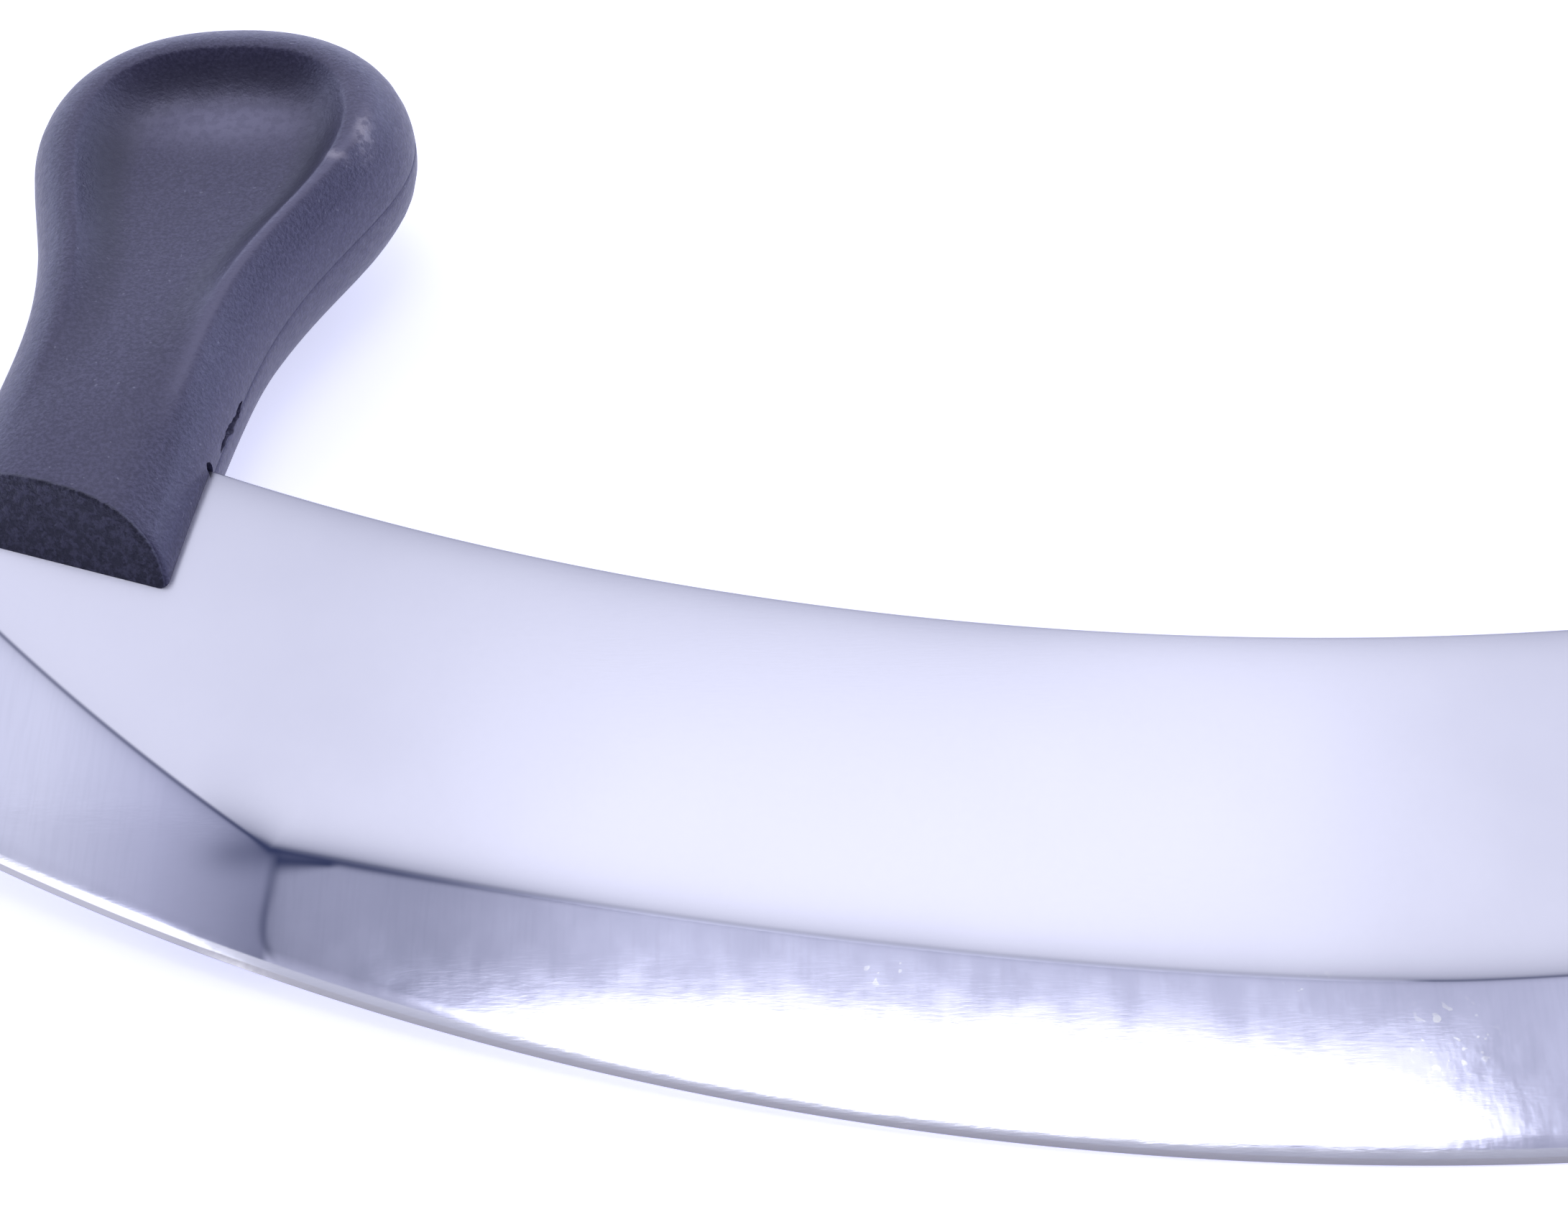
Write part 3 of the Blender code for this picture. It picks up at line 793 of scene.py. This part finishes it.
# Steel: painted shades and painted dark reflection lines, as reach and depth, and spans along the blade with
# the values at their two ends
SPINE_SHADE = (0.0014, 0.34)
SPINE_WIDE_SHADE = (0.0070, 0.10)
SPINE_WIDE_SPAN = (0.015, 0.035)
SPINE_LINE = (0.00022, 0.38)
TURN_REACH = 0.0013
TURN_TO_TIP = (0.058, 0.088, 0.46, 0.82)
TURN_AT_MIDDLE = (0.014, 0.0, 0.0, 0.10)
TURN_PAST_CREASE = (0.0905, 0.0985, 1.0, 0.07)
SHOULDER_LINE = (0.00027, 0.26)
SHOULDER_LINE_SPAN = (0.085, 0.070)
UNDER_SHOULDER = (0.0020, 0.15)
MIDDLE_LINE = (0.00011, 0.62)
MIDDLE_LINE_START = (-0.0045, -0.0015)
MIDDLE_LINE_END = (0.040, 0.020)
LINE_OFFSET = 0.00010
LINE_DEPTH = (0.058, 0.086, 0.0, 0.85)
LINE_FADING = (0.0905, 0.0990, 1.0, 0.72)
LINE_WIDTH = (0.070, 0.087, 0.00024, 0.00042)
LINE_THINNING = (0.0905, 0.093, 1.0, 0.42)
WEDGE_START = (0.0850, 0.0862)
WEDGE_HALF = (0.0850, 0.0908, 0.00022, 0.00100)
WEDGE_DEPTH = 0.92
# A soft patch of painted shade on the tip's grind, beside the bevel's corner
SHADE_PATCH_OFFSET = (0.0022, -0.0003)
SHADE_PATCH_REACH = (0.0030, 0.0017)
SHADE_PATCH_FADE = (1.0, 0.46)
CORNER_SHADE = (0.0012, 0.35)
TIP_SHADE = (0.0006, 0.42)
CREASE_SHADE = (0.0013, 0.26)
CREASE_LINE = (0.00042, 0.50)
CREASE_FOOT = (0.0008, 0.0012)
CREASE_BOW = (0.0026, 0.0004)
CREASE_BOW_HEIGHT = 0.0036
BEVEL_TO_TIP = (0.058, 0.080, 0.0, 0.46)
BEVEL_AT_MIDDLE = (0.014, 0.0, 0.0, 0.16)

# Steel: roughness, and bumps as distance and strength
FLAT_ROUGHNESS = (0.18, 0.23)
BEVEL_ROUGHNESS = (0.08, 0.12)
CUTTING_ROUGHNESS = 0.09
CUT_EDGE_ROUGHNESS = 0.34
GRAIN_BUMP = (0.000004, 0.4)
CLOUD_BUMP = (0.000002, 0.15)
SPOT_BUMP = (0.000012, 0.6)
WAVE_BUMP = (0.00003, 0.6)


def steel_material():
    paint = Paint("satin_steel_ground")
    place = paint.attribute(PLACE_NAME, ATTRIBUTE_VECTOR)
    x, y, z = paint.parts(place)
    side = paint.math("ABSOLUTE", x)
    flat = paint.node("ShaderNodeCombineXYZ", (side, y, 0.0))

    def distance_to(centre):
        return paint.distance(flat, (centre.x, centre.y, 0.0))

    # How far a point lies from the spine, the edge, the shoulder and the crease
    from_spine = paint.math("SUBTRACT", distance_to(SPINE_CENTRE), SPINE_RADIUS)
    from_edge = paint.math("SUBTRACT", EDGE_RADIUS, distance_to(EDGE_CENTRE))
    rise = paint.math("POWER", paint.math("DIVIDE", side, BEVEL_CORNER_X), BEVEL_RISE_POWER)
    shoulder = paint.math("MULTIPLY_ADD", rise, BEVEL_RISE, BEVEL_HEIGHT)
    above_shoulder = paint.math("SUBTRACT", y, shoulder)
    above_tip_grind = paint.math("SUBTRACT", TIP_GRIND_RADIUS, distance_to(tip_grind_centre()))
    above = paint.math("MINIMUM", above_shoulder, above_tip_grind)
    below = paint.negative(above)
    past_crease = paint.math("SUBTRACT", side, (BEVEL_CORNER_X + BEVEL_CORNER_EDGE_X) / 2)
    corner = shoulder_point(BEVEL_CORNER_X)

    # Where the surfaces are: the grinds, the flats, the tip's grind, the cutting bevel and the cut edge
    ground = paint.ramp(above, *GROUND_SPAN)
    level = paint.rest_of(ground)
    past = paint.ramp(past_crease, *CREASE_SPAN)
    on_bevel = paint.times(ground, paint.rest_of(past))
    cutting = paint.ramp(from_edge, *CUTTING_SPAN)
    cut_edge = paint.times(paint.ramp(paint.math("ABSOLUTE", z), *CUT_EDGE_LEVELS), level)

    # Soft clouds on the flats and the grinds, with faint scuffs and brush marks
    clouds = paint.noise(place, *FLAT_CLOUDS)
    grain = paint.stretched_noise(place, *STEEL_GRAIN)
    bevel_clouds = paint.stretched_noise(place, *BEVEL_CLOUDS)
    brushed = paint.stretched_noise(place, *BRUSH_MARKS)
    scuffs = paint.noise(place, *SCUFFS)
    scuffed = paint.times(paint.ramp(scuffs, *MARK_SPAN), SCUFF_SHARE)
    flat_colour = paint.mix(scuffed, paint.mix(clouds, *FLAT_COLOURS), SCUFF_COLOUR)
    # The tip's grind darkens towards the crease: painted shade
    by_crease, beyond_crease, by_tip = TIP_COLOURS
    tip_colour = paint.mix(paint.ramp(past_crease, *TIP_NEAR_SPAN, smooth=False), by_crease, beyond_crease)
    tip_colour = paint.mix(paint.ramp(past_crease, *TIP_FAR_SPAN, smooth=False), tip_colour, by_tip)
    ground_colour = paint.mix(past, paint.mix(bevel_clouds, *BEVEL_COLOURS), tip_colour)
    brush_share = paint.times(paint.ramp(brushed, *MARK_SPAN), paint.ramp(past, *BRUSH_SHARES))
    ground_colour = paint.mix(brush_share, ground_colour, BRUSH_COLOUR)
    tint = paint.mix(ground, flat_colour, ground_colour)

    # The sheet's cut edge, the cutting bevel, the sharp edge and the specks
    tint = paint.mix(cut_edge, tint, paint.mix(grain, *CUT_EDGE_COLOURS))
    tint = paint.mix(cutting, tint, CUTTING_COLOUR)
    sharp_colour = paint.mix(paint.ramp(side, *SHARP_EDGE_DULLING), *SHARP_EDGE_COLOURS)
    tint = paint.mix(paint.ramp(from_edge, *SHARP_EDGE_SPAN), tint, sharp_colour)
    scattered = paint.ramp(paint.noise(place, *SPECK_NOISE), *SPECK_SPAN)
    for (speck_x, speck_y), reach in STEEL_SPECKS:
        away = paint.distance(place, (speck_x, speck_y, BLADE_THICKNESS / 2))
        near = paint.ramp(away, reach, reach / 3)
        tint = paint.mix(paint.times(near, scattered), tint, SPECK_COLOUR)

    # Painted shade and painted dark reflections, mostly where the sheet turns, each a share of darkness
    turning = paint.math("ADD", paint.ramp(side, *TURN_TO_TIP), paint.ramp(side, *TURN_AT_MIDDLE))
    turning = paint.times(turning, paint.ramp(side, *TURN_PAST_CREASE))
    line_place = paint.math("ADD", above, LINE_OFFSET)
    line_depth = paint.times(paint.ramp(side, *LINE_DEPTH), paint.ramp(side, *LINE_FADING))
    line_width = paint.times(paint.ramp(side, *LINE_WIDTH), paint.ramp(side, *LINE_THINNING))
    middle_line = paint.times(paint.ramp(x, *MIDDLE_LINE_START), paint.ramp(x, *MIDDLE_LINE_END))
    shade_patch_x, shade_patch_y = [
        paint.math("DIVIDE", paint.math("SUBTRACT", value, middle + offset), reach)
        for value, middle, offset, reach in zip((side, y), corner, SHADE_PATCH_OFFSET, SHADE_PATCH_REACH)
    ]
    shade_patch = paint.math("MULTIPLY_ADD", shade_patch_y, shade_patch_y, paint.times(shade_patch_x, shade_patch_x))
    shade_patch = paint.math("SQRT", shade_patch)
    wedge = paint.times(paint.ramp(side, *WEDGE_START), on_bevel)
    wedge_half = paint.ramp(side, *WEDGE_HALF, smooth=False)
    wedge_place = paint.math("ADD", above, wedge_half)
    crease_foot = paint.falling(paint.math("SUBTRACT", from_edge, CUTTING_BEVEL_WIDTH), *CREASE_FOOT)
    crease_bow = paint.around(paint.math("SUBTRACT", from_edge, CREASE_BOW_HEIGHT), *CREASE_BOW)
    crease_line = paint.math("SUBTRACT", paint.math("ADD", past_crease, crease_foot), crease_bow)
    shades = (
        paint.falling(from_spine, *SPINE_SHADE),
        paint.times(paint.falling(from_spine, *SPINE_WIDE_SHADE), paint.ramp(side, *SPINE_WIDE_SPAN)),
        paint.times(paint.falling(above, TURN_REACH, turning), level),
        paint.times(paint.around(above, *SHOULDER_LINE), paint.ramp(side, *SHOULDER_LINE_SPAN)),
        paint.times(paint.falling(below, *UNDER_SHOULDER), on_bevel),
        paint.around(line_place, line_width, line_depth),
        paint.times(paint.falling(below, *TIP_SHADE), paint.times(past, ground)),
        paint.times(paint.around(crease_line, *CREASE_LINE), ground),
        paint.times(paint.around(above, *MIDDLE_LINE), middle_line),
        paint.times(paint.falling(paint.negative(past_crease), *CREASE_SHADE), on_bevel),
        paint.times(paint.around(distance_to(corner), *CORNER_SHADE), ground),
        paint.times(paint.around(shade_patch, *SHADE_PATCH_FADE), paint.times(ground, past)),
        paint.times(paint.around(wedge_place, wedge_half, WEDGE_DEPTH), wedge),
        paint.around(from_spine, *SPINE_LINE),
        paint.times(paint.ramp(side, *BEVEL_TO_TIP), on_bevel),
        paint.times(paint.ramp(side, *BEVEL_AT_MIDDLE), on_bevel),
    )
    light = 1.0
    for shade in shades:
        light = paint.times(light, paint.rest_of(shade))
    darkness = paint.times(paint.rest_of(light), paint.ramp(from_edge, *AWAY_FROM_EDGE))
    paint.give("Base Color", paint.mix(darkness, tint, STEEL_SHADE_COLOUR))

    flat_roughness = paint.ramp(clouds, *CLOUD_SPAN, *FLAT_ROUGHNESS)
    bevel_roughness = paint.ramp(bevel_clouds, *CLOUD_SPAN, *BEVEL_ROUGHNESS)
    roughness = paint.between(ground, flat_roughness, bevel_roughness)
    roughness = paint.between(cutting, roughness, CUTTING_ROUGHNESS)
    paint.give("Roughness", paint.between(cut_edge, roughness, CUT_EDGE_ROUGHNESS))
    paint.give("Metallic", 1.0)

    # Fine grain all over; on the grinds long waves, and uneven spots that gather at the middle of the edge
    waves = paint.stretched_noise(place, *BEVEL_WAVES)
    spots = paint.stretched_noise(place, *BEVEL_SPOTS)
    spotted = paint.times(paint.ramp(side, *SPOTTED_SPAN), ground)
    normal = paint.bump(grain, *GRAIN_BUMP)
    normal = paint.bump(paint.times(bevel_clouds, ground), *CLOUD_BUMP, normal)
    normal = paint.bump(paint.times(spots, spotted), *SPOT_BUMP, normal)
    normal = paint.bump(paint.times(waves, ground), *WAVE_BUMP, normal)
    paint.give("Normal", normal)
    return paint.material


# Plastic: colours, where a pair is blended

PLASTIC_COLOURS = (colour(0.035, 0.0315, 0.073), colour(0.045, 0.0405, 0.090))
PALE_GRAIN_COLOUR = colour(0.085, 0.079, 0.150)
DARK_GRAIN_COLOUR = colour(0.012, 0.011, 0.028)
PLASTIC_SPECK_COLOUR = colour(0.40, 0.40, 0.52)
# Painted light along the ridge and the crown's rim, and painted shade on the dish's wall
RIM_LIGHT_COLOUR = colour(0.135, 0.128, 0.215)
WALL_COLOUR = colour(0.010, 0.009, 0.022)
END_FACE_COLOURS = (colour(0.014, 0.014, 0.028), colour(0.070, 0.068, 0.118))
PLASTIC_SHEEN = colour(0.72, 0.73, 1.0)

# Plastic: noises, each with its scale, its detail and sometimes its roughness, and the spans they are cut at
PLASTIC_CLOUDS = (90.0, 3.0)
PLASTIC_GRAIN = (3000.0, 2.0, 0.6)
PLASTIC_PITS = (1500.0, 2.0)
COARSE_GRAIN = (1700.0, 3.0, 0.65)
PLASTIC_SPECKS = (2300.0, 0.0)
BROKEN_NOISE = (1100.0, 3.0)
PALE_GRAIN_SPAN = (0.35, 0.70)
DARK_GRAIN_SPAN = (0.58, 0.70)
PLASTIC_SPECK_SPAN = (0.82, 0.86)
END_FACE_GRAIN_SPAN = (0.42, 0.64)
BROKEN_SPAN = (0.42, 0.56)

# Plastic: how much shows, where it shows, roughness, and bumps as distance and strength
DARK_GRAIN_SHARE = 0.3
PLASTIC_SPECK_SHARE = 0.3
RIM_LIGHT_SHARE = 0.90
WALL_SHARE = 0.80
END_FACE_SPAN = (0.00035, 0.00010)
FRONT_SPAN = (0.002, 0.004)
PLASTIC_ROUGHNESS = (0.38, 0.48)
PIT_BUMP = (0.00006, 0.5)
PLASTIC_GRAIN_BUMP = (0.00006, 0.8)
END_FACE_BUMP = (0.00022, 0.9)

# Painted light on the left handle's front: a lit patch on the dish's floor under its top wall and two painted
# highlights on the ridge; for each the middle, as how far left and how high, the reach, how much of the
# colour shows, how much of that is left where the place is broken up, and the colour
PAINTED_LIGHT_PATCHES = (
    ((0.1024, 0.1042), (0.0095, 0.0034), 0.90, 0.75, colour(0.245, 0.235, 0.360)),
    ((0.0889, 0.0993), (0.0007, 0.0018), 0.85, 0.30, colour(0.44, 0.41, 0.50)),
    ((0.0911, 0.0962), (0.0009, 0.0006), 0.80, 0.30, colour(0.42, 0.39, 0.48)),
)


def plastic_material():
    paint = Paint("charcoal_plastic_moulded")
    place = paint.attribute(PLACE_NAME, ATTRIBUTE_VECTOR)
    x, y, z = paint.parts(place)
    across = paint.math("SUBTRACT", paint.math("ABSOLUTE", x), HANDLE_X)
    along = paint.math("SUBTRACT", y, HANDLE_Y)
    lifted = paint.times(along, math.cos(FOOT_SLOPE))
    lifted = paint.math("MULTIPLY_ADD", across, -math.sin(FOOT_SLOPE), lifted)
    over_foot = paint.math("MULTIPLY_ADD", paint.math("ABSOLUTE", z), -math.tan(FOOT_DRAFT), lifted)
    end_face = paint.ramp(over_foot, *END_FACE_SPAN)

    # The mould's grain, pale and dark, with a few specks
    clouds = paint.noise(place, *PLASTIC_CLOUDS)
    grain = paint.noise(place, *PLASTIC_GRAIN)
    pits = paint.noise(place, *PLASTIC_PITS)
    coarse = paint.noise(place, *COARSE_GRAIN)
    specks = paint.ramp(paint.noise(place, *PLASTIC_SPECKS), *PLASTIC_SPECK_SPAN)
    tint = paint.mix(clouds, *PLASTIC_COLOURS)
    tint = paint.mix(paint.ramp(grain, *PALE_GRAIN_SPAN), tint, PALE_GRAIN_COLOUR)
    dark_share = paint.times(paint.ramp(coarse, *DARK_GRAIN_SPAN), DARK_GRAIN_SHARE)
    tint = paint.mix(dark_share, tint, DARK_GRAIN_COLOUR)
    tint = paint.mix(paint.times(specks, PLASTIC_SPECK_SHARE), tint, PLASTIC_SPECK_COLOUR)

    # Painted light along the rim, painted shade on the dish's wall, painted light patches and highlights, and
    # the foot's coarser end face
    rim_light = paint.times(paint.attribute(RIM_LIGHT_NAME, ATTRIBUTE_NUMBER), RIM_LIGHT_SHARE)
    tint = paint.mix(rim_light, tint, RIM_LIGHT_COLOUR)
    shaded = paint.times(paint.attribute(SHADE_NAME, ATTRIBUTE_NUMBER), WALL_SHARE)
    tint = paint.mix(shaded, tint, WALL_COLOUR)
    front = paint.ramp(z, *FRONT_SPAN)
    broken = paint.noise(place, *BROKEN_NOISE)
    for (middle_x, middle_y), (reach_x, reach_y), depth, broken_share, lit_colour in PAINTED_LIGHT_PATCHES:
        away_x = paint.math("DIVIDE", paint.math("ADD", x, middle_x), reach_x)
        away_y = paint.math("DIVIDE", paint.math("SUBTRACT", y, middle_y), reach_y)
        away = paint.math("ADD", paint.times(away_x, away_x), paint.times(away_y, away_y))
        share = paint.times(paint.math("EXPONENT", paint.negative(away)), depth)
        share = paint.times(share, paint.ramp(broken, *BROKEN_SPAN, broken_share, 1.0))
        tint = paint.mix(paint.times(share, front), tint, lit_colour)
    end_colour = paint.mix(paint.ramp(coarse, *END_FACE_GRAIN_SPAN), *END_FACE_COLOURS)
    paint.give("Base Color", paint.mix(end_face, tint, end_colour))
    paint.give("Roughness", paint.ramp(pits, *CLOUD_SPAN, *PLASTIC_ROUGHNESS))
    paint.give("Specular IOR Level", 1.0)
    paint.give("Specular Tint", PLASTIC_SHEEN)
    normal = paint.bump(pits, *PIT_BUMP)
    normal = paint.bump(grain, *PLASTIC_GRAIN_BUMP, normal)
    normal = paint.bump(paint.times(coarse, end_face), *END_FACE_BUMP, normal)
    paint.give("Normal", normal)
    return paint.material


# The stage

FLOOR_HALF = 2.0
FLOOR_COLOUR = colour(0.93, 0.93, 0.94)
FLOOR_GLOW = colour(0.53, 0.54, 0.71)
FLOOR_ROUGHNESS = 0.9

# The room as light sees it, by direction, from front to back; a glow has its spans in Z and Y and its colour
ROOM_SPAN = (-0.35, 0.35)
ROOM_COLOURS = (colour(0.14, 0.14, 0.19), colour(0.86, 0.87, 0.96))
ROOM_GLOWS = (
    ((0.70, 0.20), (-0.40, 0.20), colour(0.60, 0.70, 0.92)),
    ((0.87, 0.95), (-0.10, -0.20), colour(0.45, 0.45, 0.48)),
)
ROOM_SEEN = colour(1.0, 1.0, 1.0)

# Soft white lamps, level over the table: low and high X, low and high Y, how bright the face is, its shape
LAMP_HEIGHT = 2.0
LAMPS = (
    ("overhead_softbox", (-0.53, 0.52), (-0.04, 0.35), 2.6, "ELLIPSE"),
    ("overhead_halo", (-0.56, 0.56), (-0.06, 0.40), 0.4, "ELLIPSE"),
    ("overhead_right_softbox", (0.31, 0.482), (-0.03, 0.345), 1.5, "RECTANGLE"),
    ("back_softbox", (-0.40, 0.46), (0.62, 0.96), 0.42, "RECTANGLE"),
    ("back_right_softbox", (0.20, 0.44), (0.62, 1.02), 0.16, "RECTANGLE"),
    ("back_left_softbox", (-1.30, -0.70), (0.60, 1.25), 0.12, "RECTANGLE"),
    ("left_softbox", (-1.35, -0.86), (-0.12, 0.24), 1.6, "RECTANGLE"),
)


def make_lamp(name, across, along, radiance, shape):
    (left, right), (near, far) = across, along
    data = bpy.data.lights.new(name, "AREA")
    data.shape = shape
    data.size, data.size_y = right - left, far - near
    area = data.size * data.size_y * (math.pi / 4 if shape == "ELLIPSE" else 1.0)
    data.energy = radiance * math.pi * area
    made = bpy.data.objects.new(name, data)
    bpy.context.scene.collection.objects.link(made)
    made.location = ((left + right) / 2, (near + far) / 2, LAMP_HEIGHT)


def make_floor():
    """A white table that glows a little where the camera or a reflection sees it."""
    low, high = -FLOOR_HALF, FLOOR_HALF
    shape = bmesh.new()
    corners = ((low, low), (high, low), (high, high), (low, high))
    shape.faces.new([shape.verts.new((x, y, 0.0)) for x, y in corners])
    mesh = bpy.data.meshes.new("floor")
    shape.to_mesh(mesh)
    shape.free()
    floor = bpy.data.objects.new("floor", mesh)
    bpy.context.scene.collection.objects.link(floor)
    paint = Paint("white_table")
    path = paint.add("ShaderNodeLightPath").outputs
    paint.give("Base Color", FLOOR_COLOUR)
    paint.give("Roughness", FLOOR_ROUGHNESS)
    paint.give("Specular IOR Level", 0.0)
    paint.give("Emission Color", FLOOR_GLOW)
    paint.give("Emission Strength", paint.math("MAXIMUM", path["Is Camera Ray"], path["Is Glossy Ray"]))
    mesh.materials.append(paint.material)
    return floor


def make_world():
    """A room that is dark in front and pale at the back, with two glows, and plain white to the camera."""
    world = bpy.data.worlds.new("studio")
    bpy.context.scene.world = world
    world.use_nodes = True
    world.node_tree.nodes.clear()
    nodes = Nodes(world.node_tree)
    _, y, z = nodes.parts(nodes.node("ShaderNodeTexCoord", output="Generated"))
    room = nodes.mix(nodes.ramp(y, *ROOM_SPAN), *ROOM_COLOURS)
    for height_span, depth_span, glow in ROOM_GLOWS:
        share = nodes.times(nodes.ramp(z, *height_span), nodes.ramp(y, *depth_span))
        room = nodes.mix(share, room, glow, "ADD")
    light = nodes.node("ShaderNodeBackground", (room,))
    white = nodes.node("ShaderNodeBackground", (ROOM_SEEN,))
    by_camera = nodes.node("ShaderNodeLightPath", output="Is Camera Ray")
    nodes.add("ShaderNodeOutputWorld", (nodes.node("ShaderNodeMixShader", (by_camera, light, white)),))


def make_camera():
    data = bpy.data.cameras.new("camera")
    data.lens = CAMERA_LENS
    data.sensor_width = SENSOR_WIDTH
    data.clip_start = CAMERA_NEAR
    made = bpy.data.objects.new("camera", data)
    bpy.context.scene.collection.objects.link(made)
    made.location = CAMERA_PLACE
    aim = (Vector(CAMERA_TARGET) - Vector(CAMERA_PLACE)).to_track_quat("-Z", "Y").to_matrix()
    made.rotation_euler = (aim @ Matrix.Rotation(-CAMERA_ROLL, 3, "Z")).to_euler()
    bpy.context.scene.camera = made


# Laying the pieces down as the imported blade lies

def resting_matrix():
    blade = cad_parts["blade"].data
    widest = max(blade.polygons, key=lambda face: face.area if face.normal.z > 0.0 else 0.0)
    tilt = math.atan2(-widest.normal.y, widest.normal.z)
    turned = Matrix.Rotation(tilt, 3, "X")
    level = [turned.transposed() @ vertex.co for vertex in blade.vertices]
    heights = [point.z for point in level]
    offset = Vector((0.0, min(point.y for point in level), (min(heights) + max(heights)) / 2))
    return Matrix.Translation(turned @ offset) @ turned.to_4x4()


def finish_piece(piece, resting, material, node, sharp_angle):
    """Lay a piece down, keep where its points lay in the knife's plane, hang it on the root body and hide the
    imported part that it stands for.
    """
    mesh = piece.data
    kept = mesh.attributes.new(PLACE_NAME, "FLOAT_VECTOR", "POINT")
    for vertex, value in zip(mesh.vertices, kept.data):
        value.vector = vertex.co
    mesh.transform(resting)
    mesh.materials.clear()
    mesh.materials.append(material)
    mesh.shade_smooth()
    mesh.set_sharp_from_angle(angle=sharp_angle)
    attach(piece, "root")
    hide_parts(node)


resting = resting_matrix()
steel = steel_material()
plastic = plastic_material()
finish_piece(make_blade(), resting, steel, "blade", STEEL_SHARP_ANGLE)
for piece_name, node_name, piece_side in (
    ("moulded_left_handle", "left_handle", -1.0),
    ("moulded_right_handle", "right_handle", 1.0),
):
    handle = make_handle(piece_name, piece_side)
    finish_piece(handle, resting, plastic, node_name, PLASTIC_SHARP_ANGLE)

make_floor()
make_world()
for lamp in LAMPS:
    make_lamp(*lamp)
make_camera()
bpy.context.scene.view_settings.view_transform = "Standard"
